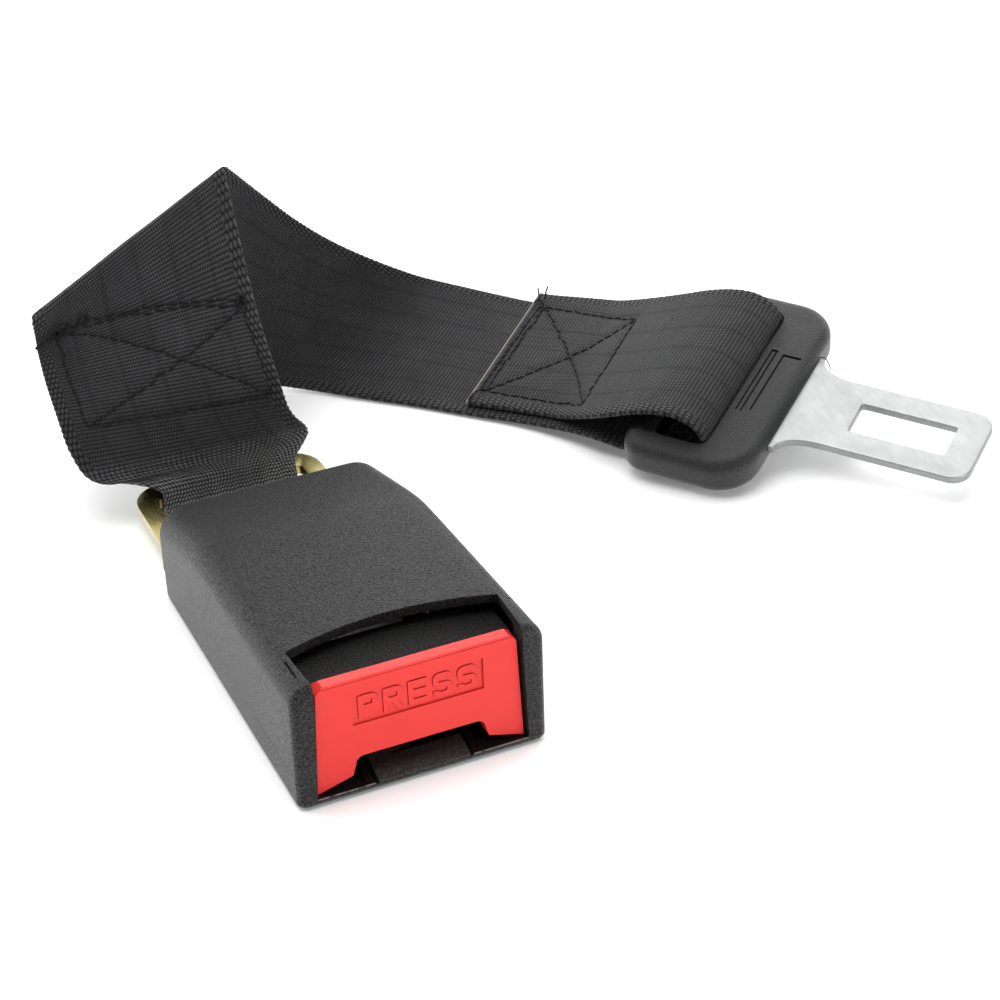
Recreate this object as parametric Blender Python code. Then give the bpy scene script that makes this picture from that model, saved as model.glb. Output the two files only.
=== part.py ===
"""Seat belt extender: a push-button buckle and a latch tongue on one folded length of webbing.

Metres, +Z up. The origin is the centre of the buckle's underside; the button faces -Y and the webbing
leaves the buckle towards +Y. The strap lies as it was put down: it rises behind the buckle, folds
over and runs down to the tongue, which rests on its near edge.
"""

import math

import bmesh
import bpy
import numpy as np
from mathutils import Matrix, Vector

MM = 0.001

# Fits that repeat through the assembly.
CLEARANCE = 0.3 * MM
SLIDING_GAP = 0.5 * MM

# Buckle housing, moulded in two halves.
HOUSING_LENGTH = 86 * MM
HOUSING_FRONT_WIDTH = 52 * MM
HOUSING_REAR_WIDTH = 50.6 * MM
HOUSING_HEIGHT = 27.8 * MM
HOUSING_REAR_HEIGHT = 21.4 * MM
HOUSING_FRONT = -HOUSING_LENGTH / 2
HOUSING_REAR = HOUSING_LENGTH / 2
CREASE_Y = HOUSING_REAR - 29 * MM
HOUSING_WALL = 2 * MM
FLOOR_WALL = 1.5 * MM
FRONT_WALL = 5 * MM
PARTING_HEIGHT = 7.4 * MM
TOP_EDGE_RADIUS = 5 * MM
CORNER_RADIUS = 4 * MM
RIM_RADIUS = 1.6 * MM
MOUTH_WIDTH = 44 * MM
MOUTH_SILL = 1.6 * MM
CUTOUT_BACK = 13 * MM
CUTOUT_ARC_RISE = 4 * MM
LOCATING_RIB = 1 * MM
LOCATING_RIB_RISE = 1.6 * MM

# Push button: red cap on a black carrier.
BUTTON_TRAVEL = 5 * MM
CAP_INSET = 1.5 * MM
CAP_TOP = 26.4 * MM
CAP_DEPTH = 4 * MM
CAP_CHAMFER = 1.7 * MM
CAP_CORNER = 2.4 * MM
NOTCH_WIDTH = 24.8 * MM
NOTCH_HEIGHT = 8.3 * MM
FOOT_SLANT = 1.4 * MM
PANEL_WIDTH = 27 * MM
PANEL_HEIGHT = 7 * MM
PANEL_BOTTOM = 15.4 * MM
PANEL_DEPTH = 0.5 * MM
CARRIER_PLATE = 2.5 * MM
SHELF_THICKNESS = 2 * MM
SHELF_LENGTH = 10.7 * MM
SHELF_TOP = 23.5 * MM
CARRIER_BOTTOM = 9 * MM
ARM_THICKNESS = 1.8 * MM
ARM_BOTTOM = 15 * MM
ARM_TOP = 21.2 * MM

# Steel frame with its tail for the webbing.
STEEL = 2.2 * MM
FRAME_FRONT_Y = HOUSING_FRONT + 13 * MM
ARM_ROOM = 1.4 * MM
FRAME_HALF_WIDTH = HOUSING_FRONT_WIDTH / 2 - HOUSING_WALL - ARM_ROOM - ARM_THICKNESS - CLEARANCE
FRAME_HEIGHT = 22.4 * MM
FLANGE_FRONT_Y = FRAME_FRONT_Y + 2 * MM
FLANGE_REAR_Y = FRAME_FRONT_Y + 50 * MM
FLANGE_SLOPE = 16 * MM
FLANGE_REAR_HEIGHT = 17.6 * MM
TAIL_HALF_WIDTH = 22 * MM
TAIL_JOG = 2.3 * MM
TAIL_JOG_Y = HOUSING_REAR + 2 * MM
TAIL_CORNER = 8 * MM
SLOT_HALF_WIDTH = 17.5 * MM
SLOT_LENGTH = 13 * MM
SLOT_CORNER = 1 * MM
BAR_WIDTH = 7 * MM
BAR_Y = HOUSING_REAR + 31 * MM

# Latch, its hinge pin and the locking pin.
LATCH_HINGE = (FRAME_FRONT_Y + 44 * MM, 14.3 * MM)
LATCH_PIN_RADIUS = 1.5 * MM
KNUCKLE_RADIUS = 3 * MM
LATCH_THICKNESS = 2.2 * MM
LATCH_WIDTH = 2 * (FRAME_HALF_WIDTH - 11.5 * MM)
LATCH_TIP_Y = FRAME_FRONT_Y + 16 * MM
NOSE_WIDTH = 9.4 * MM
NOSE_LENGTH = 2.4 * MM
NOSE_DROP = 3.7 * MM
LOCK_PIN_RADIUS = 2 * MM
LOCK_PIN_Y = FRAME_FRONT_Y + 24 * MM

# Ejector that pushes the tongue out.
EJECTOR_TRAVEL = 12 * MM
EJECTOR_FRONT_Y = FRAME_FRONT_Y + 8 * MM
EJECTOR_FORK_LENGTH = 18 * MM
EJECTOR_BAR = 6 * MM
EJECTOR_WIDTH = 22 * MM
EJECTOR_FORK_GAP = 11.6 * MM
EJECTOR_TOP = 8.6 * MM
EJECTOR_BAR_TOP = 10 * MM
SPRING_TAB_Y = EJECTOR_FRONT_Y + EJECTOR_FORK_LENGTH + EJECTOR_BAR + 22 * MM
SPRING_TAB_HEIGHT = 11 * MM

# Coil springs.
WIRE_RADIUS = 0.3 * MM
BUTTON_SPRING_RADIUS = 2 * MM
BUTTON_SPRING_X = FRAME_HALF_WIDTH - STEEL - BUTTON_SPRING_RADIUS - 1.8 * MM
BUTTON_SPRING_TURNS = 8
SPRING_RIB_Y = FRAME_FRONT_Y + 17.5 * MM
SPRING_RIB = 1.5 * MM
EJECTOR_SPRING_RADIUS = 1.9 * MM
EJECTOR_SPRING_TURNS = 9
LATCH_SPRING_RADIUS = 1.7 * MM
LATCH_SPRING_TURNS = 4
LATCH_SPRING_Y = LATCH_HINGE[0] - 9 * MM
LATCH_SPRING_LENGTH = 4.4 * MM

# Insert that leads the blade into the mouth.
GUIDE_WIDTH = 23.8 * MM
GUIDE_TAB_WIDTH = 20 * MM
GUIDE_SLIT = 0.8 * MM
GUIDE_LENGTH = 9 * MM
GUIDE_FRONT_HEIGHT = 0.9 * MM
GUIDE_REAR_HEIGHT = 2.1 * MM

# Webbing, folded back round a bar at each end and sewn to itself.
WEB_WIDTH = 48 * MM
WEB_THICKNESS = 1.2 * MM
LAYER_GAP = 0.3 * MM
BUNCHED_WIDTH = 32 * MM
BUCKLE_LOOP_RADIUS = 4.6 * MM
RETURN_SHIFT = 2.3 * MM
THREAD_WIDTH = 0.9 * MM
THREAD_HEIGHT = 0.5 * MM

# Tongue: a steel blade moulded into a plastic grip.
TONGUE_AXIS = (109.8 * MM, BAR_Y - 17 * MM, 12.9 * MM)
TONGUE_HEADING = -51.75
TONGUE_PITCH = 2.87
TONGUE_ROLL = 12.65
GRIP_HALF_WIDTH = 31.3 * MM
GRIP_FRONT = 28.6 * MM
GRIP_THICKNESS = 8.9 * MM
GRIP_FRONT_CORNER = 10 * MM
GRIP_REAR_CORNER = 6 * MM
GRIP_EDGE = 2.2 * MM
REAR_BAR_WIDTH = 6 * MM
REAR_BAR_THICKNESS = 5.4 * MM
WEB_SLOT_LENGTH = 13.8 * MM
WEB_SLOT_CORNER = 3 * MM
BLADE_THICKNESS = 2 * MM
BLADE_WIDTH = 23 * MM
BLADE_TIP = 73.8 * MM
BLADE_TIP_RADIUS = 4.5 * MM
BLADE_ROOT_WIDTH = 33 * MM
BLADE_ROOT_START = GRIP_FRONT + 1.2 * MM
BLADE_ROOT_FLARE = 8.8 * MM
WINDOW_START = 43.4 * MM
WINDOW_LENGTH = 23.2 * MM
WINDOW_WIDTH = 10.2 * MM
PLATE_RING = 3 * MM
MARK_DEPTH = 0.4 * MM
MARK_WIDTH = 0.7 * MM

# Places that follow from the sizes above.
FRAME_UNDERSIDE = FLOOR_WALL + CLEARANCE
FRAME_TOP = FRAME_UNDERSIDE + STEEL
BAR_Z = FRAME_UNDERSIDE + TAIL_JOG + STEEL / 2
TAIL_END_Y = BAR_Y + BAR_WIDTH / 2
SLOT_END_Y = BAR_Y - BAR_WIDTH / 2
CAP_FRONT_Y = HOUSING_FRONT + CAP_INSET
CAP_BACK_Y = CAP_FRONT_Y + CAP_DEPTH
CAP_HALF_WIDTH = MOUTH_WIDTH / 2 - SLIDING_GAP
CARRIER_FRONT_Y = CAP_BACK_Y + CLEARANCE
CARRIER_BACK_Y = CARRIER_FRONT_Y + CARRIER_PLATE
LATCH_UNDERSIDE = LATCH_HINGE[1] - LATCH_THICKNESS / 2
LATCH_TOP = LATCH_HINGE[1] + LATCH_THICKNESS / 2
LOCK_PIN_Z = LATCH_TOP + LOCK_PIN_RADIUS + 2 * CLEARANCE
BUTTON_SPRING_Z = ARM_TOP - BUTTON_SPRING_RADIUS - 0.8 * MM
EJECTOR_UNDERSIDE = FRAME_TOP + CLEARANCE
EJECTOR_BAR_Y = EJECTOR_FRONT_Y + EJECTOR_FORK_LENGTH


# Materials

def make_material(name, colour, roughness, metallic=0.0):
    """One plain Principled finish."""
    material = bpy.data.materials.new(name)
    material.use_nodes = True
    shader = material.node_tree.nodes["Principled BSDF"]
    shader.inputs["Base Color"].default_value = (*colour, 1.0)
    shader.inputs["Roughness"].default_value = roughness
    shader.inputs["Metallic"].default_value = metallic
    material.diffuse_color = (*colour, 1.0)
    return material


# Mesh helpers

def smooth_by_angle(mesh, degrees=35.0):
    mesh.shade_smooth()
    mesh.set_sharp_from_angle(angle=math.radians(degrees))


def add_object(name, bm, material, smooth=True):
    """Turn a bmesh into a named object with outward faces."""
    bmesh.ops.recalc_face_normals(bm, faces=bm.faces[:])
    mesh = bpy.data.meshes.new(name)
    bm.to_mesh(mesh)
    bm.free()
    if smooth:
        smooth_by_angle(mesh)
    thing = bpy.data.objects.new(name, mesh)
    bpy.context.scene.collection.objects.link(thing)
    if material is not None:
        mesh.materials.append(material)
    return thing


def loft(rings):
    """Join rings of equally many points in order and cap both ends."""
    bm = bmesh.new()
    rows = [[bm.verts.new(point) for point in ring] for ring in rings]
    count = len(rows[0])
    for lower, upper in zip(rows, rows[1:]):
        for i in range(count):
            j = (i + 1) % count
            bm.faces.new((lower[i], lower[j], upper[j], upper[i]))
    bm.faces.new(rows[0][::-1])
    bm.faces.new(rows[-1])
    return bm


def prism(outline, low, high, axis="Z"):
    """Extrude a closed outline along an axis. Outline pairs are (x, y), (x, z) or (y, z)."""
    place = {
        "Z": lambda a, b, h: (a, b, h),
        "Y": lambda a, b, h: (a, h, b),
        "X": lambda a, b, h: (h, a, b),
    }[axis]
    return loft([[place(a, b, h) for a, b in outline] for h in (low, high)])


def rectangle(a0, a1, b0, b1):
    return [(a0, b0), (a1, b0), (a1, b1), (a0, b1)]


def block(x0, x1, y0, y1, z0, z1):
    return prism(rectangle(x0, x1, y0, y1), z0, z1)


def arc_points(centre, radius, start, end, steps):
    """Points on an arc, angles in degrees."""
    angles = [math.radians(start + (end - start) * i / steps) for i in range(steps + 1)]
    return [(centre[0] + radius * math.cos(t), centre[1] + radius * math.sin(t)) for t in angles]


def rounded_rectangle(a0, a1, b0, b1, radius, steps=4):
    corners = (
        ((a1 - radius, b0 + radius), -90),
        ((a1 - radius, b1 - radius), 0),
        ((a0 + radius, b1 - radius), 90),
        ((a0 + radius, b0 + radius), 180),
    )
    points = []
    for centre, start in corners:
        points += arc_points(centre, radius, start, start + 90, steps)
    return points


def tube_along(points, radius, sides):
    """Round bar along a list of points, closed at both ends."""
    points = [Vector(p) for p in points]
    rings = []
    side = None
    for i, point in enumerate(points):
        before = points[max(i - 1, 0)]
        after = points[min(i + 1, len(points) - 1)]
        along = (after - before).normalized()
        if side is None:
            side = along.orthogonal().normalized()
        side = (side - along * side.dot(along)).normalized()
        up = along.cross(side)
        turns = [2 * math.pi * k / sides for k in range(sides)]
        rings.append([point + radius * (math.cos(t) * side + math.sin(t) * up) for t in turns])
    return loft(rings)


def cylinder(centre, direction, length, radius, sides=20):
    middle = Vector(centre)
    half = Vector(direction).normalized() * (length / 2)
    return tube_along([middle - half, middle + half], radius, sides)


def cut_with(target, bm, name, operation="DIFFERENCE"):
    """Add a Boolean with a hidden cutter made from a bmesh."""
    cutter = add_object(name, bm, None, smooth=False)
    cutter.hide_render = True
    cutter.display_type = "WIRE"
    modifier = target.modifiers.new(name, "BOOLEAN")
    modifier.operation = operation
    modifier.solver = "EXACT"
    modifier.object = cutter
    cutter.parent = target
    return cutter


def bevel(target, width, segments=2, angle=40.0):
    modifier = target.modifiers.new("edge_round", "BEVEL")
    modifier.width = width
    modifier.segments = segments
    modifier.limit_method = "ANGLE"
    modifier.angle_limit = math.radians(angle)


def joint_empty(name, location, rotation=(0.0, 0.0, 0.0)):
    empty = bpy.data.objects.new(name, None)
    empty.location = location
    empty.rotation_euler = rotation
    empty.empty_display_size = 0.01
    bpy.context.scene.collection.objects.link(empty)
    return empty


def hang_on(pieces, empty):
    """Put the pieces' origins on a joint's axis, with their shapes where they were."""
    offset = Vector(empty.location)
    for piece in pieces:
        for part in (piece, *piece.children):
            part.data.transform(Matrix.Translation(-offset))
        piece.parent = empty


def spring_bm(start, end, radius, turns, steps=10, sides=5):
    """Compression coil between two points."""
    start = Vector(start)
    end = Vector(end)
    along = (end - start).normalized()
    side = along.orthogonal().normalized()
    up = along.cross(side)
    length = (end - start).length - 2 * WIRE_RADIUS
    total = turns * steps
    points = []
    for i in range(total + 1):
        turn = 2 * math.pi * i / steps
        centre = start + along * (WIRE_RADIUS + length * i / total)
        points.append(centre + radius * (math.cos(turn) * side + math.sin(turn) * up))
    return tube_along(points, WIRE_RADIUS, sides)


# Buckle housing

def housing_half_width(y):
    share = (y - HOUSING_FRONT) / HOUSING_LENGTH
    return (HOUSING_FRONT_WIDTH + (HOUSING_REAR_WIDTH - HOUSING_FRONT_WIDTH) * share) / 2


def housing_height(y):
    if y <= CREASE_Y:
        return HOUSING_HEIGHT
    share = (y - CREASE_Y) / (HOUSING_REAR - CREASE_Y)
    return HOUSING_HEIGHT + (HOUSING_REAR_HEIGHT - HOUSING_HEIGHT) * share


def housing_ring(y, inset, floor_z, top_radius, steps=4):
    """Cross-section of the housing at one station, rounded along its top edges."""
    half = housing_half_width(y) - inset
    top = housing_height(y) - inset
    ring = [(-half, y, floor_z), (half, y, floor_z)]
    right = arc_points((half - top_radius, top - top_radius), top_radius, 0, 90, steps)
    left = arc_points((-half + top_radius, top - top_radius), top_radius, 90, 180, steps)
    ring += [(x, y, z) for x, z in right + left]
    return ring


def housing_body(inset, floor_z, front_y, rear_y, end_radius):
    """Outer or inner form of the housing, with its two ends drawn in by end_radius."""
    radius = TOP_EDGE_RADIUS - inset
    rings = []
    ends = 3
    for i in range(ends + 1):
        turn = math.radians(90 * i / ends)
        draw_in = end_radius * (1 - math.sin(turn))
        station = front_y + end_radius * (1 - math.cos(turn))
        rings.append(housing_ring(station, inset + draw_in, floor_z, radius))
    crease_run = 3 * MM
    for station in (CREASE_Y - crease_run, CREASE_Y + crease_run):
        rings.append(housing_ring(station, inset, floor_z, radius))
    for i in range(ends + 1):
        turn = math.radians(90 * (1 - i / ends))
        draw_in = end_radius * (1 - math.sin(turn))
        station = rear_y - end_radius * (1 - math.cos(turn))
        rings.append(housing_ring(station, inset + draw_in, floor_z, radius))
    return loft(rings)


def mouth_outline():
    """Opening for the button as seen from above, with its curved back edge."""
    half = MOUTH_WIDTH / 2
    back = HOUSING_FRONT + CUTOUT_BACK
    rise = CUTOUT_ARC_RISE
    steps = 8
    arc = []
    for i in range(steps + 1):
        share = -1 + 2 * i / steps
        arc.append((-share * half, back + rise * (1 - share * share)))
    front = HOUSING_FRONT - 5 * MM
    return [(-half, front), (half, front)] + arc


def make_upper_cover(material):
    bm = housing_body(0.0, PARTING_HEIGHT + CLEARANCE / 2, HOUSING_FRONT, HOUSING_REAR, RIM_RADIUS)
    cover = add_object("upper_cover", bm, material)
    inner = housing_body(
        HOUSING_WALL,
        PARTING_HEIGHT - 5 * MM,
        HOUSING_FRONT + FRONT_WALL,
        HOUSING_REAR - HOUSING_WALL,
        RIM_RADIUS,
    )
    cut_with(cover, inner, "upper_cover_hollow")
    half = MOUTH_WIDTH / 2
    front = prism(
        rectangle(-half, half, -MM, HOUSING_HEIGHT + 5 * MM),
        HOUSING_FRONT - 5 * MM,
        HOUSING_FRONT + FRONT_WALL + MM,
        axis="Y",
    )
    cut_with(cover, front, "button_opening")
    top = prism(mouth_outline(), SHELF_TOP - 4 * MM, HOUSING_HEIGHT + 5 * MM)
    cut_with(cover, top, "button_cutout")
    ribs = []
    for side in (-1, 1):
        centre = side * BUTTON_SPRING_X
        half_rib = BUTTON_SPRING_RADIUS + MM
        rib = block(
            centre - half_rib,
            centre + half_rib,
            SPRING_RIB_Y,
            SPRING_RIB_Y + SPRING_RIB,
            BUTTON_SPRING_Z - half_rib,
            HOUSING_HEIGHT - HOUSING_WALL / 2,
        )
        ribs.append(cut_with(cover, rib, "spring_rib", "UNION"))
    post_base = LATCH_TOP + CLEARANCE + LATCH_SPRING_LENGTH + CLEARANCE
    post_top = HOUSING_HEIGHT - HOUSING_WALL / 2
    post = cylinder(
        (0, LATCH_SPRING_Y, (post_base + post_top) / 2),
        (0, 0, 1),
        post_top - post_base,
        LATCH_SPRING_RADIUS + 0.6 * MM,
        12,
    )
    cut_with(cover, post, "latch_spring_post", "UNION")
    return cover


def make_lower_cover(material):
    rings = []
    steps = 3
    for i in range(steps + 1):
        turn = math.radians(90 * i / steps)
        inset = RIM_RADIUS * (1 - math.sin(turn))
        level = RIM_RADIUS * (1 - math.cos(turn))
        rings.append(plan_ring(inset, level))
    rings.append(plan_ring(0.0, PARTING_HEIGHT - CLEARANCE / 2))
    tray = add_object("lower_cover", loft(rings), material)
    hollow = loft(
        [
            plan_ring(HOUSING_WALL, FLOOR_WALL, FRONT_WALL),
            plan_ring(HOUSING_WALL, PARTING_HEIGHT + MM, FRONT_WALL),
        ]
    )
    cut_with(tray, hollow, "lower_cover_hollow")
    half = MOUTH_WIDTH / 2
    mouth = block(
        -half,
        half,
        HOUSING_FRONT - MM,
        HOUSING_FRONT + FRONT_WALL + MM,
        MOUTH_SILL,
        PARTING_HEIGHT + MM,
    )
    cut_with(tray, mouth, "lower_mouth")
    tail = TAIL_HALF_WIDTH + SLIDING_GAP
    passage = block(
        -tail,
        tail,
        HOUSING_REAR - HOUSING_WALL - MM,
        HOUSING_REAR + MM,
        FRAME_UNDERSIDE - CLEARANCE,
        PARTING_HEIGHT + MM,
    )
    cut_with(tray, passage, "tail_passage")
    return tray


def plan_ring(inset, z, front_inset=None):
    """Outline of the housing seen from above, at one height."""
    front = HOUSING_FRONT + (inset if front_inset is None else front_inset)
    rear = HOUSING_REAR - inset
    radius = CORNER_RADIUS - min(inset, HOUSING_WALL)
    front_radius = RIM_RADIUS
    ring = []
    for (cx, cy, r, start) in (
        (housing_half_width(front) - inset - front_radius, front + front_radius, front_radius, -90),
        (housing_half_width(rear) - inset - radius, rear - radius, radius, 0),
    ):
        ring += [(x, y, z) for x, y in arc_points((cx, cy), r, start, start + 90, 3)]
    ring += [(-x, y, z) for x, y, z in ring[::-1]]
    return ring


# Push button

def make_button_cap(material):
    """Red cap: a plate with a chamfered top, a sunk panel and a notch for the blade."""
    half = CAP_HALF_WIDTH
    bottom = MOUTH_SILL + CLEARANCE
    notch = NOTCH_WIDTH / 2
    corner = CAP_CORNER
    outline = [
        (-half, bottom),
        (-notch, bottom + FOOT_SLANT),
        (-notch, NOTCH_HEIGHT - 1.5 * MM),
        (-notch + 1.5 * MM, NOTCH_HEIGHT),
        (notch - 1.5 * MM, NOTCH_HEIGHT),
        (notch, NOTCH_HEIGHT - 1.5 * MM),
        (notch, bottom + FOOT_SLANT),
        (half, bottom),
        (half, CAP_TOP - corner),
        (half - corner, CAP_TOP),
        (-half + corner, CAP_TOP),
        (-half, CAP_TOP - corner),
    ]
    cap = add_object("button_cap", prism(outline, CAP_FRONT_Y, CAP_BACK_Y, axis="Y"), material)
    chamfer = [
        (CAP_FRONT_Y - MM, CAP_TOP - CAP_CHAMFER - MM),
        (CAP_FRONT_Y + CAP_CHAMFER + MM, CAP_TOP + MM),
        (CAP_FRONT_Y - MM, CAP_TOP + MM),
    ]
    cut_with(cap, prism(chamfer, -half - MM, half + MM, axis="X"), "cap_chamfer")
    panel = block(
        -PANEL_WIDTH / 2,
        PANEL_WIDTH / 2,
        CAP_FRONT_Y - MM,
        CAP_FRONT_Y + PANEL_DEPTH,
        PANEL_BOTTOM,
        PANEL_BOTTOM + PANEL_HEIGHT,
    )
    cut_with(cap, panel, "cap_panel")
    bevel(cap, 0.4 * MM, 2)
    return cap


def make_button_carrier(material):
    """Black slider behind the cap: front plate, shelf under the cut-out, two arms for the pin."""
    half = CAP_HALF_WIDTH
    plate = block(-half, half, CARRIER_FRONT_Y, CARRIER_BACK_Y, CARRIER_BOTTOM, SHELF_TOP)
    carrier = add_object("button_carrier", plate, material)
    shelf = block(
        -half,
        half,
        CARRIER_BACK_Y - MM,
        CARRIER_BACK_Y + SHELF_LENGTH,
        SHELF_TOP - SHELF_THICKNESS,
        SHELF_TOP,
    )
    cut_with(carrier, shelf, "shelf", "UNION")
    arm_inner = FRAME_HALF_WIDTH + CLEARANCE
    arm_end = LOCK_PIN_Y + LOCK_PIN_RADIUS + 2 * MM
    for side in (-1, 1):
        x0, x1 = sorted((side * arm_inner, side * (arm_inner + ARM_THICKNESS)))
        arm = block(x0, x1, CARRIER_FRONT_Y + MM, arm_end, ARM_BOTTOM, ARM_TOP)
        cut_with(carrier, arm, "arm", "UNION")
        x0, x1 = sorted((side * (half - 2 * MM), side * (arm_inner + ARM_THICKNESS)))
        root = block(x0, x1, CARRIER_FRONT_Y + MM, CARRIER_BACK_Y, ARM_BOTTOM, ARM_TOP)
        cut_with(carrier, root, "arm_root", "UNION")
    bore = cylinder(
        (0, LOCK_PIN_Y, LOCK_PIN_Z),
        (1, 0, 0),
        2 * (arm_inner + ARM_THICKNESS) + 2 * MM,
        LOCK_PIN_RADIUS + CLEARANCE,
    )
    cut_with(carrier, bore, "pin_bore")
    return carrier


def make_lock_pin(material):
    length = 2 * (FRAME_HALF_WIDTH + CLEARANCE + ARM_THICKNESS)
    bm = cylinder((0, LOCK_PIN_Y, LOCK_PIN_Z), (1, 0, 0), length, LOCK_PIN_RADIUS)
    pin = add_object("lock_pin", bm, material)
    bevel(pin, 0.3 * MM, 1)
    return pin


def make_button_springs(material):
    springs = []
    front = CARRIER_BACK_Y + CLEARANCE
    back = SPRING_RIB_Y - CLEARANCE
    for name, side in (("button_spring_left", -1), ("button_spring_right", 1)):
        x = side * BUTTON_SPRING_X
        bm = spring_bm(
            (x, front, BUTTON_SPRING_Z),
            (x, back, BUTTON_SPRING_Z),
            BUTTON_SPRING_RADIUS,
            BUTTON_SPRING_TURNS,
        )
        springs.append(add_object(name, bm, material))
    return springs


def make_mouth_guide(material):
    """Ramp under the notch, split by two slits into a middle tab and two edges."""
    front = HOUSING_FRONT + 1 * MM
    back = front + GUIDE_LENGTH
    base = MOUTH_SILL + CLEARANCE
    profile = [
        (front, base),
        (back, base),
        (back, base + GUIDE_REAR_HEIGHT),
        (back - 3 * MM, base + GUIDE_REAR_HEIGHT),
        (front, base + GUIDE_FRONT_HEIGHT),
    ]
    half = GUIDE_WIDTH / 2
    guide = add_object("mouth_guide", prism(profile, -half, half, axis="X"), material)
    for side in (-1, 1):
        x = side * GUIDE_TAB_WIDTH / 2
        slit = block(
            x - GUIDE_SLIT / 2,
            x + GUIDE_SLIT / 2,
            front - MM,
            front + GUIDE_LENGTH * 0.6,
            base - MM,
            base + GUIDE_REAR_HEIGHT + MM,
        )
        cut_with(guide, slit, "guide_slit")
    return guide


# Steel frame

def make_anchor_frame(material):
    """One stamping: base plate, two flanges, a spring tab and the slotted tail."""
    low = FRAME_UNDERSIDE
    high = low + STEEL
    run = 4 * MM
    profile = [
        (FRAME_FRONT_Y, low),
        (TAIL_JOG_Y, low),
        (TAIL_JOG_Y + run, low + TAIL_JOG),
        (TAIL_END_Y, low + TAIL_JOG),
        (TAIL_END_Y, high + TAIL_JOG),
        (TAIL_JOG_Y + run, high + TAIL_JOG),
        (TAIL_JOG_Y, high),
        (FRAME_FRONT_Y, high),
    ]
    frame = add_object(
        "anchor_frame", prism(profile, -TAIL_HALF_WIDTH, TAIL_HALF_WIDTH, axis="X"), material
    )
    plan = [(FRAME_HALF_WIDTH, FRAME_FRONT_Y), (FRAME_HALF_WIDTH, HOUSING_REAR - 7 * MM), (TAIL_HALF_WIDTH, HOUSING_REAR - 3 * MM)]
    corner = (TAIL_HALF_WIDTH - TAIL_CORNER, TAIL_END_Y - TAIL_CORNER)
    plan += arc_points(corner, TAIL_CORNER, 0, 90, 6)
    plan += [(-x, y) for x, y in plan[::-1]]
    cut_with(frame, prism(plan, -MM, 15 * MM), "frame_outline", "INTERSECT")
    slot = rounded_rectangle(
        -SLOT_HALF_WIDTH, SLOT_HALF_WIDTH, SLOT_END_Y - SLOT_LENGTH, SLOT_END_Y, SLOT_CORNER
    )
    cut_with(frame, prism(slot, -MM, 15 * MM), "tail_slot")
    flange = [
        (FLANGE_FRONT_Y, low + MM),
        (FLANGE_REAR_Y, low + MM),
        (FLANGE_REAR_Y, FLANGE_REAR_HEIGHT - 3 * MM),
        (FLANGE_REAR_Y - 3 * MM, FLANGE_REAR_HEIGHT),
        (FLANGE_REAR_Y - 11 * MM, FRAME_HEIGHT),
        (FLANGE_FRONT_Y + FLANGE_SLOPE, FRAME_HEIGHT),
        (FLANGE_FRONT_Y, ARM_BOTTOM),
    ]
    for side in (-1, 1):
        x0, x1 = sorted((side * (FRAME_HALF_WIDTH - STEEL), side * FRAME_HALF_WIDTH))
        cut_with(frame, prism(flange, x0, x1, axis="X"), "flange", "UNION")
    tab = block(
        -5 * MM, 5 * MM, SPRING_TAB_Y, SPRING_TAB_Y + STEEL, low + MM, SPRING_TAB_HEIGHT
    )
    cut_with(frame, tab, "spring_tab", "UNION")
    reach = LOCK_PIN_RADIUS + CLEARANCE
    across = FRAME_HALF_WIDTH + MM
    window = rounded_rectangle(
        LOCK_PIN_Y - reach,
        LOCK_PIN_Y + BUTTON_TRAVEL + reach,
        LOCK_PIN_Z - reach,
        LOCK_PIN_Z + reach,
        reach * 0.98,
        4,
    )
    cut_with(frame, prism(window, -across, across, axis="X"), "lock_window")
    hinge = cylinder(
        (0, *LATCH_HINGE), (1, 0, 0), 2 * across, LATCH_PIN_RADIUS + CLEARANCE, 16
    )
    cut_with(frame, hinge, "hinge_hole")
    return frame


# Latch group

def make_latch_plate(material):
    """Hinged latch with a rolled knuckle at the rear and a nose bent down at the front."""
    y, z = LATCH_HINGE
    half = LATCH_WIDTH / 2
    plate = block(-half, half, LATCH_TIP_Y, y - KNUCKLE_RADIUS * 0.6, LATCH_UNDERSIDE, LATCH_TOP)
    latch = add_object("latch_plate", plate, material)
    knuckle_width = 2 * (FRAME_HALF_WIDTH - STEEL - SLIDING_GAP)
    knuckle = cylinder((0, y, z), (1, 0, 0), knuckle_width, KNUCKLE_RADIUS, 20)
    cut_with(latch, knuckle, "knuckle", "UNION")
    nose = block(
        -NOSE_WIDTH / 2,
        NOSE_WIDTH / 2,
        LATCH_TIP_Y,
        LATCH_TIP_Y + NOSE_LENGTH,
        LATCH_UNDERSIDE - NOSE_DROP,
        LATCH_TOP - MM,
    )
    cut_with(latch, nose, "nose", "UNION")
    bore = cylinder((0, y, z), (1, 0, 0), knuckle_width + 2 * MM, LATCH_PIN_RADIUS + CLEARANCE, 16)
    cut_with(latch, bore, "knuckle_bore")
    return latch


def make_latch_hinge_pin(material):
    length = 2 * (FRAME_HALF_WIDTH + CLEARANCE)
    bm = cylinder((0, *LATCH_HINGE), (1, 0, 0), length, LATCH_PIN_RADIUS, 16)
    return add_object("latch_hinge_pin", bm, material)


def make_latch_spring(material):
    start = LATCH_TOP + CLEARANCE
    bm = spring_bm(
        (0, LATCH_SPRING_Y, start),
        (0, LATCH_SPRING_Y, start + LATCH_SPRING_LENGTH),
        LATCH_SPRING_RADIUS,
        LATCH_SPRING_TURNS,
    )
    return add_object("latch_spring", bm, material)


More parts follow.
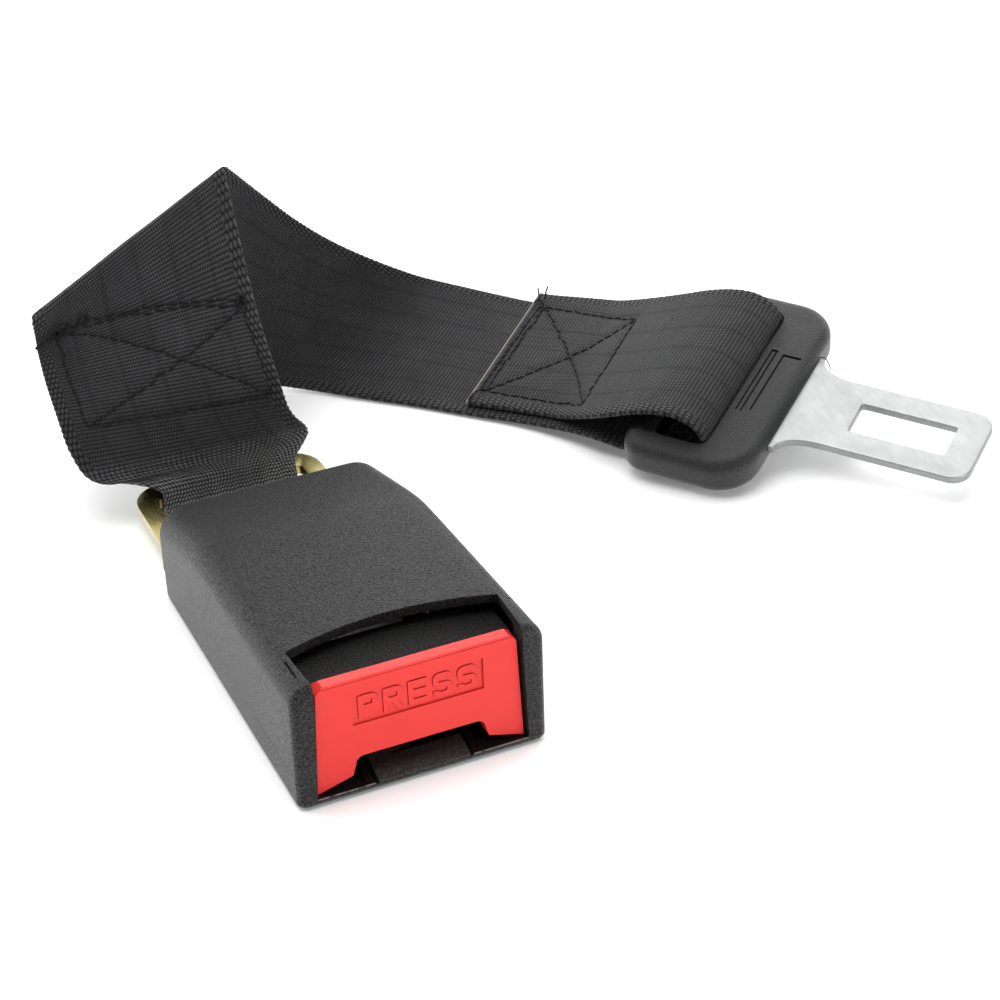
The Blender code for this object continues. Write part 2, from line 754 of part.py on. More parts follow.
def make_ejector(material):
    """Fork that meets the blade on both sides of its window."""
    half = EJECTOR_WIDTH / 2
    back = EJECTOR_BAR_Y + EJECTOR_BAR
    fork = block(-half, half, EJECTOR_FRONT_Y, back, EJECTOR_UNDERSIDE, EJECTOR_TOP)
    ejector = add_object("ejector", fork, material)
    gap = EJECTOR_FORK_GAP / 2
    slot = block(-gap, gap, EJECTOR_FRONT_Y - MM, EJECTOR_BAR_Y, 0.0, EJECTOR_TOP + MM)
    cut_with(ejector, slot, "fork_gap")
    bar = block(-half, half, EJECTOR_BAR_Y, back, EJECTOR_TOP - MM, EJECTOR_BAR_TOP)
    cut_with(ejector, bar, "ejector_bar", "UNION")
    bevel(ejector, 0.5 * MM, 1)
    return ejector


def make_ejector_spring(material):
    height = EJECTOR_UNDERSIDE + EJECTOR_SPRING_RADIUS + 2 * WIRE_RADIUS
    start = EJECTOR_BAR_Y + EJECTOR_BAR + CLEARANCE
    bm = spring_bm(
        (0, start, height),
        (0, SPRING_TAB_Y - CLEARANCE, height),
        EJECTOR_SPRING_RADIUS,
        EJECTOR_SPRING_TURNS,
    )
    return add_object("ejector_spring", bm, material)


# Webbing

def millimetres(rows):
    return np.array(rows, dtype=float) * MM


# Rulings of the strap on its way to the tongue: left edge, then right edge, in mm.
# Each point is across, back from the buckle's bar, and up from the floor.
STRAP_RULINGS = (
    ((-16.6, -3.8, 10.5), (15.5, -5.5, 13)),
    ((-30, 3, 19), (14.2, -6.5, 21)),
    ((-34.3, 8.5, 24.5), (14, -5, 27.5)),
    ((-34.6, 15, 31), (14, 4, 36.5)),
    ((-34.5, 19.5, 36.5), (14.7, 13, 43)),
    ((-34.1, 22.2, 41.1), (17.3, 33.2, 63.3)),
    ((-33.8, 25, 43.9), (17.7, 36, 66.1)),
    ((-31.2, 27.2, 41.8), (20.1, 37.7, 63.4)),
    ((-14, 42.5, 27.5), (28.6, 44, 53.5)),
    ((4, 48, 13.5), (39.1, 47.5, 42)),
    ((18, 47, 4.2), (52.8, 52, 30)),
    ((33, 42, 1), (71, 57.5, 17)),
    ((45.1, 29.7, 0.8), (80.5, 55.5, 13)),
    ((56.4, 19, 0.8), (92.5, 49.5, 9)),
    ((64.8, 9.6, 0.9), (99.9, 41.5, 8.4)),
    ((74.5, -0.8, 1.3), (109.5, 31, 9.6)),
    ((82.2, -14, 3.2), (115.4, 16, 13.6)),
)
BOTTOM_STITCH = 2
TOP_STITCH = 4.35
TONGUE_CUT_END = 13.9

# Path of the webbing round the tongue's rear bar: forward and upward from the bar, in mm.
TONGUE_LOOP = (
    (-11.5, -4.0),
    (-5, -4.7),
    (1, -5.1),
    (7, -4.4),
    (12, -1.2),
    (15, 3.8),
    (13.3, 8.2),
    (9, 10.8),
    (3.5, 10.4),
    (-2.5, 7.6),
    (-7.5, 3.2),
    (-11.5, -0.5),
)


def quadratic_spline(controls, steps):
    """Smooth run of rulings that starts and ends on the first and last control."""
    controls = np.asarray(controls, dtype=float)
    first = 2 * controls[0] - controls[1]
    last = 2 * controls[-1] - controls[-2]
    padded = np.concatenate([[first], controls, [last]])
    rows = []
    for i in range((len(controls) - 1) * steps + 1):
        k = int(i / steps + 0.5)
        t = i / steps - k
        before = 0.5 * (0.5 - t) ** 2
        after = 0.5 * (0.5 + t) ** 2
        rows.append(before * padded[k] + (1 - before - after) * padded[k + 1] + after * padded[k + 2])
    return np.array(rows)


def tongue_matrix():
    rotation = (
        Matrix.Rotation(math.radians(TONGUE_HEADING), 4, "Z")
        @ Matrix.Rotation(math.radians(TONGUE_PITCH), 4, "Y")
        @ Matrix.Rotation(math.radians(TONGUE_ROLL), 4, "X")
    )
    return Matrix.Translation(TONGUE_AXIS) @ rotation


def tongue_point(forward, across, up):
    return np.array(tongue_matrix() @ Vector((forward, across, up)))


def ruling_normals(rulings):
    """Unit normals at both ends of each ruling: across the strap, crossed with along it."""
    along = np.gradient(rulings, axis=0)
    across = (rulings[:, 1] - rulings[:, 0])[:, None, :]
    normals = np.cross(np.broadcast_to(across, along.shape), along)
    return normals / np.linalg.norm(normals, axis=2, keepdims=True)


def hermite(start, end, start_direction, end_direction, steps):
    """Rulings between two rulings that leave and arrive in given directions."""
    rows = []
    for i in range(1, steps):
        t = i / steps
        rows.append(
            (2 * t**3 - 3 * t**2 + 1) * start
            + (t**3 - 2 * t**2 + t) * start_direction
            + (3 * t**2 - 2 * t**3) * end
            + (t**3 - t**2) * end_direction
        )
    return np.array(rows)


def strap_layers():
    """Rulings of the main run and of the two sewn-back ends, as arrays (n, 2, 3) in metres."""
    half = BUNCHED_WIDTH / 2
    first = millimetres([[(0, 0, 0), (0, 0, 0)]])
    first[0, :, 0] = (-half, half)
    first[0, :, 1] = BAR_Y - BUCKLE_LOOP_RADIUS
    first[0, :, 2] = BAR_Z
    across = (-WEB_WIDTH / 2, WEB_WIDTH / 2)
    loop = [[tongue_point(a * MM, v, n * MM) for v in across] for a, n in TONGUE_LOOP]
    rulings = millimetres(STRAP_RULINGS) + (0, BAR_Y, 0)
    per_ruling = 3
    run = quadratic_spline(np.concatenate([first, rulings, loop]), per_ruling)
    normals = ruling_normals(run)
    offset = WEB_THICKNESS + LAYER_GAP
    back = run - offset * normals

    # Sewn-back end at the buckle, from its cut end down to the bar and under it.
    low = int((1 + BOTTOM_STITCH) * per_ruling)
    high = int(round((1 + TOP_STITCH) * per_ruling))
    buckle_end = back[low : high + 1][::-1]
    angles = np.radians(np.linspace(0, -180, 11))[:-1]
    wrap = np.zeros((len(angles), 2, 3))
    wrap[:, :, 0] = (-half, half)
    wrap[:, :, 1] = (BAR_Y + BUCKLE_LOOP_RADIUS * np.cos(angles))[:, None]
    wrap[:, :, 2] = (BAR_Z + BUCKLE_LOOP_RADIUS * np.sin(angles))[:, None]
    reach = 18 * MM
    down = (buckle_end[-1] - buckle_end[-2]) / np.linalg.norm(buckle_end[-1] - buckle_end[-2], axis=1)[:, None]
    drop = np.array([[0, 0, -reach * 0.9], [0, 0, -reach * 0.9]])
    leg = hermite(buckle_end[-1], wrap[0], down * reach, drop, 6)

    # Sewn-back end at the tongue, on top of the main run, a little to the far side.
    cut = int(round((1 + TONGUE_CUT_END) * per_ruling))
    last = len(STRAP_RULINGS) * per_ruling
    side = back[:, 1] - back[:, 0]
    side = side / np.linalg.norm(side, axis=1)[:, None]
    shifted = back + RETURN_SHIFT * side[:, None, :]
    tongue_end = shifted[cut : last + 1][::-1]
    leave = run[-1] - run[-2]
    arrive = tongue_end[1] - tongue_end[0]
    stride = 8 * MM
    leave = leave / np.linalg.norm(leave, axis=1)[:, None] * stride
    arrive = arrive / np.linalg.norm(arrive, axis=1)[:, None] * stride
    bridge = hermite(run[-1], tongue_end[0], leave, arrive, 4)
    whole = np.concatenate([buckle_end, leg, wrap, run, bridge, tongue_end])
    return run, whole, tongue_end, per_ruling


def surface_point(rulings, normals, along, across, height):
    """Point at a fractional ruling, a share across it, and a height above the middle surface."""
    k = min(max(int(math.floor(along)), 0), len(rulings) - 2)
    t = along - k
    ends = rulings[k] * (1 - t) + rulings[k + 1] * t
    tips = normals[k] * (1 - t) + normals[k + 1] * t
    share = 0.5 + across / WEB_WIDTH
    normal = tips[0] * (1 - share) + tips[1] * share
    normal = normal / np.linalg.norm(normal)
    return ends[0] * (1 - share) + ends[1] * share + height * normal


def thick_patch(low_points, high_points, faces):
    """Closed solid between two copies of one patch of faces."""
    bm = bmesh.new()
    low = [bm.verts.new(p) for p in low_points]
    high = [bm.verts.new(p) for p in high_points]
    edges = {}
    for face in faces:
        bm.faces.new([high[i] for i in face])
        bm.faces.new([low[i] for i in reversed(face)])
        for a, b in zip(face, face[1:] + face[:1]):
            edges[(a, b)] = edges.get((a, b), 0) + 1
    for a, b in edges:
        if (b, a) not in edges:
            bm.faces.new((low[a], low[b], high[b], high[a]))
    return bm


def make_webbing(material):
    whole = strap_layers()[1]
    normals = ruling_normals(whole)
    columns = 4
    shares = np.linspace(-0.5, 0.5, columns + 1) * WEB_WIDTH
    low, high = [], []
    for k in range(len(whole)):
        for across in shares:
            low.append(surface_point(whole, normals, k, across, -WEB_THICKNESS / 2))
            high.append(surface_point(whole, normals, k, across, WEB_THICKNESS / 2))
    faces = []
    row = columns + 1
    for k in range(len(whole) - 1):
        for j in range(columns):
            a = k * row + j
            faces.append([a, a + 1, a + 1 + row, a + row])
    return add_object("webbing_strap", thick_patch(low, high, faces), material)


def box_cross_stitch(name, material, place, length, width):
    """Sewn box with a cross in it, mapped on the strap by place(along, across, height)."""
    half_w = THREAD_WIDTH / 2
    outer = [(-half_w, -half_w), (length + half_w, -half_w), (length + half_w, width + half_w), (-half_w, width + half_w)]
    centre = (length / 2, width / 2)
    diagonal = math.hypot(length, width)
    lean_along = half_w * diagonal / width
    lean_across = half_w * diagonal / length
    holes = [
        ((half_w + lean_along, half_w), (length - half_w - lean_along, half_w), (centre[0], centre[1] - lean_across)),
        (
            (length - half_w, half_w + lean_across),
            (length - half_w, width - half_w - lean_across),
            (centre[0] + lean_along, centre[1]),
        ),
        (
            (length - half_w - lean_along, width - half_w),
            (half_w + lean_along, width - half_w),
            (centre[0], centre[1] + lean_across),
        ),
        (
            (half_w, width - half_w - lean_across),
            (half_w, half_w + lean_across),
            (centre[0] - lean_along, centre[1]),
        ),
    ]
    points, faces = [], []
    index = {}

    def vertex(p):
        key = (round(p[0] * 1e7), round(p[1] * 1e7))
        if key not in index:
            index[key] = len(points)
            points.append(p)
        return index[key]

    def strip(a0, a1, b0, b1, steps):
        """Quads between the line a0 to a1 and the line b0 to b1."""
        previous = None
        for i in range(steps + 1):
            t = i / steps
            a = tuple(a0[c] + (a1[c] - a0[c]) * t for c in (0, 1))
            b = tuple(b0[c] + (b1[c] - b0[c]) * t for c in (0, 1))
            if previous is not None:
                faces.append([vertex(previous[0]), vertex(a), vertex(b), vertex(previous[1])])
            previous = (a, b)

    steps = 6
    for i in range(4):
        corner, after = outer[i], outer[(i + 1) % 4]
        start, end, apex = holes[i]
        next_start, next_end, next_apex = holes[(i + 1) % 4]
        strip(corner, after, start, end, steps)
        faces.append([vertex(after), vertex(next_start), vertex(end)])
        strip(apex, end, next_apex, next_start, steps)
    faces.append([vertex(holes[i][2]) for i in range(4)])
    base = WEB_THICKNESS / 2 + CLEARANCE
    low = [place(a, b, base) for a, b in points]
    high = [place(a, b, base + THREAD_HEIGHT) for a, b in points]
    return add_object(name, thick_patch(low, high, faces), material)


def make_stitching(material):
    run, _, tongue_end, per_ruling = strap_layers()
    run_normals = ruling_normals(run)
    edge = 5 * MM
    width = WEB_WIDTH - 2 * edge
    first = (1 + BOTTOM_STITCH) * per_ruling
    last = (1 + TOP_STITCH - 0.35) * per_ruling
    front_length = 20 * MM

    def on_front(along, across, height):
        k = first + (last - first) * along / front_length
        return surface_point(run, run_normals, k, across - width / 2, height)

    front = box_cross_stitch("stitching_buckle_end", material, on_front, front_length, width)
    end_normals = ruling_normals(tongue_end)
    count = len(tongue_end) - 1
    spans = np.linalg.norm(np.diff(tongue_end.mean(axis=1), axis=0), axis=1)
    reach = np.concatenate([[0], np.cumsum(spans)])
    top_length = 24 * MM
    from_cut = 3 * MM

    def on_top(along, across, height):
        distance = reach[-1] - from_cut - along
        k = float(np.interp(distance, reach, np.arange(count + 1)))
        return surface_point(tongue_end, end_normals, k, across - width / 2, height)

    top = box_cross_stitch("stitching_tongue_end", material, on_top, top_length, width)
    return front, top


# Tongue, modelled in its own axes: X to the tip, Y across, Z up, origin on the rear bar's axis

def grip_outline():
    rear = -REAR_BAR_WIDTH / 2
    half = GRIP_HALF_WIDTH
    front = GRIP_FRONT
    points = arc_points((rear + GRIP_REAR_CORNER, -half + GRIP_REAR_CORNER), GRIP_REAR_CORNER, 180, 270, 4)
    points += arc_points((front - GRIP_FRONT_CORNER, -half + GRIP_FRONT_CORNER), GRIP_FRONT_CORNER, 270, 360, 6)
    return points + [(x, -y) for x, y in points[::-1]]


def blade_outline(grow):
    """Blade with its flared root and the ring round the webbing slot, grown by a clearance."""
    rear = -REAR_BAR_WIDTH / 2 + 1.2 * MM - grow
    ring_half = WEB_WIDTH / 2 + 1.3 * MM + PLATE_RING + grow
    front_of_ring = GRIP_FRONT - 5 * MM
    root = BLADE_ROOT_WIDTH / 2 + grow
    blade = BLADE_WIDTH / 2 + grow
    tip = BLADE_TIP + grow
    flare = BLADE_ROOT_START
    flare_end = flare + BLADE_ROOT_FLARE
    points = [
        (rear, -ring_half),
        (front_of_ring - 6 * MM, -ring_half),
        (front_of_ring, -root - 3 * MM),
        (flare, -root),
    ]
    steps = 4
    for i in range(1, steps + 1):
        turn = math.radians(90 * i / steps)
        x = flare + (flare_end - flare) * (1 - math.cos(turn))
        points.append((x, -root + (root - blade) * math.sin(turn)))
    radius = BLADE_TIP_RADIUS
    points += arc_points((tip - radius, -blade + radius), radius, 270, 360, 4)
    return points + [(x, -y) for x, y in points[::-1]]


def web_slot(shrink):
    half = WEB_WIDTH / 2 + 1.3 * MM - shrink
    start = REAR_BAR_WIDTH / 2 + shrink
    return rounded_rectangle(
        start, start + WEB_SLOT_LENGTH - 2 * shrink, -half, half, WEB_SLOT_CORNER - shrink, 3
    )


def make_tongue_plate(material, empty):
    half = BLADE_THICKNESS / 2
    plate = add_object("tongue_plate", prism(blade_outline(0.0), -half, half), material)
    ring_gap = 1.2 * MM
    cut_with(plate, prism(web_slot(-ring_gap), -5 * MM, 5 * MM), "plate_slot")
    window = rounded_rectangle(
        WINDOW_START, WINDOW_START + WINDOW_LENGTH, -WINDOW_WIDTH / 2, WINDOW_WIDTH / 2, 1 * MM, 2
    )
    cut_with(plate, prism(window, -5 * MM, 5 * MM), "plate_window")
    bevel(plate, 0.3 * MM, 1)
    plate.parent = empty
    return plate


def make_tongue_grip(material, empty):
    half = GRIP_THICKNESS / 2
    grip = add_object("tongue_grip", prism(grip_outline(), -half, half), material)
    bevel(grip, GRIP_EDGE, 3)
    bar_reach = WEB_WIDTH / 2 + 1.3 * MM
    for side in (-1, 1):
        z0, z1 = sorted((side * REAR_BAR_THICKNESS / 2, side * (half + MM)))
        thin = block(-6 * MM, REAR_BAR_WIDTH / 2 + 2 * MM, -bar_reach, bar_reach, z0, z1)
        cut_with(grip, thin, "bar_thinning")
    cut_with(grip, prism(web_slot(0.0), -2 * half, 2 * half), "grip_slot")
    pocket_half = BLADE_THICKNESS / 2 + CLEARANCE
    pocket = add_object("plate_pocket", prism(blade_outline(CLEARANCE), -pocket_half, pocket_half), None)
    pocket.hide_render = True
    pocket.display_type = "WIRE"
    core = cut_with(
        pocket, prism(web_slot(CLEARANCE - 1.2 * MM), -5 * MM, 5 * MM), "pocket_core"
    )
    core.parent = empty
    hollow = grip.modifiers.new("pocket", "BOOLEAN")
    hollow.operation = "DIFFERENCE"
    hollow.solver = "EXACT"
    hollow.object = pocket
    pocket.parent = empty
    slot_middle = REAR_BAR_WIDTH / 2 + WEB_SLOT_LENGTH
    for start, across in ((2.2 * MM, 11 * MM), (4.9 * MM, 10.5 * MM)):
        x = slot_middle + start
        mark = block(x, x + MARK_WIDTH, -across, across, half - MARK_DEPTH, half + MM)
        cut_with(grip, mark, "grip_mark")
    grip.parent = empty
    return grip


# Assembly

def main():
    for thing in list(bpy.data.objects):
        bpy.data.objects.remove(thing)
    charcoal = make_material("charcoal_plastic", (0.085, 0.087, 0.09), 0.55)
    black = make_material("black_plastic", (0.02, 0.02, 0.022), 0.5)
    grip_plastic = make_material("grip_plastic", (0.04, 0.041, 0.043), 0.5)
    red = make_material("red_plastic", (0.9, 0.06, 0.05), 0.4)
    steel = make_material("bright_steel", (0.7, 0.71, 0.72), 0.3, 1.0)
    yellow_zinc = make_material("yellow_zinc_steel", (0.72, 0.6, 0.28), 0.35, 1.0)
    spring_steel = make_material("spring_steel", (0.5, 0.5, 0.5), 0.35, 1.0)
    webbing = make_material("black_webbing", (0.025, 0.025, 0.027), 0.85)
    thread = make_material("black_thread", (0.012, 0.012, 0.013), 0.8)

    buckle_hinge = joint_empty("buckle_hinge", (0.0, BAR_Y, BAR_Z))
    button_slide = joint_empty("button_slide", (0.0, CAP_BACK_Y, CAP_TOP / 2))
    ejector_slide = joint_empty("ejector_slide", (0.0, EJECTOR_FRONT_Y, EJECTOR_TOP / 2))
    latch_hinge = joint_empty("latch_hinge", (0.0, *LATCH_HINGE))
    turn = tuple(math.radians(a) for a in (TONGUE_ROLL, TONGUE_PITCH, TONGUE_HEADING))
    tongue_hinge = joint_empty("tongue_hinge", TONGUE_AXIS, turn)

    buckle = [
        make_upper_cover(charcoal),
        make_lower_cover(charcoal),
        make_anchor_frame(yellow_zinc),
        make_mouth_guide(black),
        make_latch_hinge_pin(steel),
        *make_button_springs(spring_steel),
        make_ejector_spring(spring_steel),
        make_latch_spring(spring_steel),
    ]
    hang_on(buckle, buckle_hinge)
    hang_on([make_button_cap(red), make_button_carrier(black), make_lock_pin(steel)], button_slide)
    hang_on([make_ejector(black)], ejector_slide)
    hang_on([make_latch_plate(steel)], latch_hinge)
    make_webbing(webbing)
    make_stitching(thread)
    make_tongue_plate(steel, tongue_hinge)
    make_tongue_grip(grip_plastic, tongue_hinge)


main()
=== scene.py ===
# %% [markdown]
# # A seat belt extender
# A push-button buckle, a latch tongue and one length of webbing that is folded back round a steel bar at
# each end and sewn to itself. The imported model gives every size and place. This notebook gives each piece
# its final surface and finish, and it starts by loading that model as a fixed frame.

# %% Load the frame
import math

import bmesh
import bpy
import numpy as np
from mathutils import Matrix, Vector


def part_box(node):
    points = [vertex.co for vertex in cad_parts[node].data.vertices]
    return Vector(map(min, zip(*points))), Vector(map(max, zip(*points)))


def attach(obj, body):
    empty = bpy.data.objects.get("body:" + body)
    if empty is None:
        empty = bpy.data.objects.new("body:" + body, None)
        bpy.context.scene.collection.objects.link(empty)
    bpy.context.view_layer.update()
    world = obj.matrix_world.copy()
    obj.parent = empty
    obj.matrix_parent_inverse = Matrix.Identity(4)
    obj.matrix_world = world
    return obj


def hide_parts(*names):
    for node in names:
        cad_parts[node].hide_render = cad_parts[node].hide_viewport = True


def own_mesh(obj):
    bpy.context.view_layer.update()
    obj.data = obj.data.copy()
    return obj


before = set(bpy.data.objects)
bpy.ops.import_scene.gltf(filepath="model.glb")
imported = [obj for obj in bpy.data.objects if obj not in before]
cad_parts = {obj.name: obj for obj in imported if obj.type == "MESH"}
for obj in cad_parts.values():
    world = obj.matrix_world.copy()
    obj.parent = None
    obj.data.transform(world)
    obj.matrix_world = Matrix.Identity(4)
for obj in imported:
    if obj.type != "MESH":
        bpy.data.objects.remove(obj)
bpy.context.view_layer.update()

MM = 0.001


# %% [markdown]
# ## Surfaces from arrays
# Nearly everything here is a row of rings: a cross-section that is carried along a line. It could be pushed
# and pulled by hand in edit mode, but then no size could be read off or changed. So the points are worked
# out as one numpy array of shape rows x points x 3, and the faces follow from the counts alone.

# %% Rings into meshes
def ring_faces(rows, count):
    """Quads between neighbouring rings: point j of ring i with j + 1, and the same pair of ring i + 1."""
    i = np.arange(rows - 1)[:, None]
    j = np.arange(count)[None, :]
    k = (j + 1) % count
    quads = np.stack([i * count + j, i * count + k, (i + 1) * count + k, (i + 1) * count + j], axis=-1)
    return quads.reshape(-1, 4).tolist()


def unit(vectors):
    """Vectors divided by their own length, v / |v|, along the last axis."""
    return vectors / np.linalg.norm(vectors, axis=-1, keepdims=True)


def new_piece(name, points, faces):
    """A linked object whose mesh holds the points, with its faces turned outwards."""
    mesh = bpy.data.meshes.new(name)
    mesh.from_pydata(np.asarray(points).reshape(-1, 3).tolist(), [], faces)
    bm = bmesh.new()
    bm.from_mesh(mesh)
    bmesh.ops.recalc_face_normals(bm, faces=bm.faces[:])
    bm.to_mesh(mesh)
    bm.free()
    piece = bpy.data.objects.new(name, mesh)
    bpy.context.scene.collection.objects.link(piece)
    return piece


def closed_rings(name, rings):
    """Solid from rings (rows, count, 3): side quads, and one flat face on the first and last ring."""
    rows, count = rings.shape[:2]
    faces = ring_faces(rows, count)
    faces.append(list(range(count))[::-1])
    faces.append(list(range((rows - 1) * count, rows * count)))
    return new_piece(name, rings, faces)


def extruded(name, outline, low, high, axis="Z"):
    """Outline (n, 2) repeated at two heights along an axis."""
    outline = np.asarray(outline, dtype=float)
    order = {"Z": (0, 1, 2), "Y": (0, 2, 1), "X": (1, 2, 0)}[axis]
    rings = np.zeros((2, len(outline), 3))
    for ring, height in zip(rings, (low, high)):
        ring[:, order[0]] = outline[:, 0]
        ring[:, order[1]] = outline[:, 1]
        ring[:, order[2]] = height
    return closed_rings(name, rings)


def rectangle(a0, a1, b0, b1):
    """The four corners between a0, a1 and b0, b1, anticlockwise."""
    return np.array([(a0, b0), (a1, b0), (a1, b1), (a0, b1)], dtype=float)


def arc(centre, radius, start, end, steps):
    """Points at radius from the centre, at even angles in degrees."""
    turn = np.radians(np.linspace(start, end, steps + 1))
    return np.stack([centre[0] + radius * np.cos(turn), centre[1] + radius * np.sin(turn)], axis=1)


def rolled_edge(radius, steps):
    """Inset r * (1 - sin t) and rise r * (1 - cos t) along a quarter circle, t from 0 to 90 degrees."""
    turn = np.radians(np.linspace(0, 90, steps + 1))
    return radius * (1 - np.sin(turn)), radius * (1 - np.cos(turn))


def rounded_rectangle(a0, a1, b0, b1, radius, steps=8):
    """A rectangle with a quarter circle round each corner, anticlockwise."""
    corners = (
        ((a1 - radius, b0 + radius), -90),
        ((a1 - radius, b1 - radius), 0),
        ((a0 + radius, b1 - radius), 90),
        ((a0 + radius, b0 + radius), 180),
    )
    return np.concatenate([arc(c, radius, start, start + 90, steps) for c, start in corners])


# %% [markdown]
# Moulded pieces also have openings, which a plain grid of rings can't hold. They could be modelled face by
# face. It is shorter to cut them out with a second closed shape, by a Boolean modifier that is applied at
# once. The sharp edges that a cut leaves are then rolled over by a Bevel modifier.

# %% Cutting and rounding
def settle(piece):
    """Make what the modifiers give the piece's own mesh."""
    graph = bpy.context.evaluated_depsgraph_get()
    mesh = bpy.data.meshes.new_from_object(piece.evaluated_get(graph))
    piece.modifiers.clear()
    before = piece.data
    piece.data = mesh
    bpy.data.meshes.remove(before)


def carve(piece, cutter, operation="DIFFERENCE"):
    """Take one closed surface out of another, or join the two."""
    modifier = piece.modifiers.new("carve", "BOOLEAN")
    modifier.operation = operation
    modifier.solver = "EXACT"
    modifier.object = cutter
    settle(piece)
    bpy.data.objects.remove(cutter)


def smooth(piece, angle=35):
    """Shade smoothly, but keep edges sharp that turn by more than an angle in degrees."""
    piece.data.shade_smooth()
    piece.data.set_sharp_from_angle(angle=math.radians(angle))


def even_shading(piece):
    """Let large flat faces set the normals at their corners, so that cuts in them leave no blotches."""
    smooth(piece)
    modifier = piece.modifiers.new("even", "WEIGHTED_NORMAL")
    modifier.keep_sharp = True
    settle(piece)


def round_edges(piece, width, segments=3, angle=35, keep_height=None):
    """Roll the sharp edges over; edges that lie flat at keep_height stay crisp, as on a closed seam."""
    bm = bmesh.new()
    bm.from_mesh(piece.data)
    limit = math.radians(angle)
    weights = np.array([e.is_manifold and e.calc_face_angle() > limit for e in bm.edges], dtype=float)
    if keep_height is not None:
        heights = np.array([[v.co.z for v in e.verts] for e in bm.edges])
        weights[np.all(np.abs(heights - keep_height) < 1e-5, axis=1)] = 0
    bm.free()
    piece.data.attributes.new("bevel_weight_edge", "FLOAT", "EDGE").data.foreach_set("value", weights)
    modifier = piece.modifiers.new("rounding", "BEVEL")
    modifier.width = width
    modifier.segments = segments
    modifier.limit_method = "WEIGHT"
    settle(piece)
    smooth(piece)


def merged_copy(node, name):
    """A copy of a frame node with its loose triangles joined and its flat areas made one face each."""
    piece = bpy.data.objects.new(name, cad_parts[node].data.copy())
    bpy.context.scene.collection.objects.link(piece)
    bm = bmesh.new()
    bm.from_mesh(piece.data)
    bmesh.ops.remove_doubles(bm, verts=bm.verts[:], dist=1e-6)
    bmesh.ops.dissolve_limit(bm, angle_limit=math.radians(1), verts=bm.verts[:], edges=bm.edges[:])
    bmesh.ops.recalc_face_normals(bm, faces=bm.faces[:])
    bm.to_mesh(piece.data)
    bm.free()
    return piece


def dress(piece, material, body, replaced=()):
    """Give a piece its finish, its moving body and the frame nodes that it stands for."""
    piece.data.materials.clear()
    piece.data.materials.append(material)
    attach(piece, body)
    if replaced:
        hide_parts(*replaced)
    print(piece.name, len(piece.data.polygons), "faces")
    return piece


# %% [markdown]
# ## Finishes
# Each finish is a few shader nodes on object coordinates, which are metres here, so a noise scale of 3000
# gives grains a third of a millimetre wide. A photographed texture would be quicker, but it would stretch
# over the corners and fix the scale. A short class keeps the calls that add nodes down to one line each.

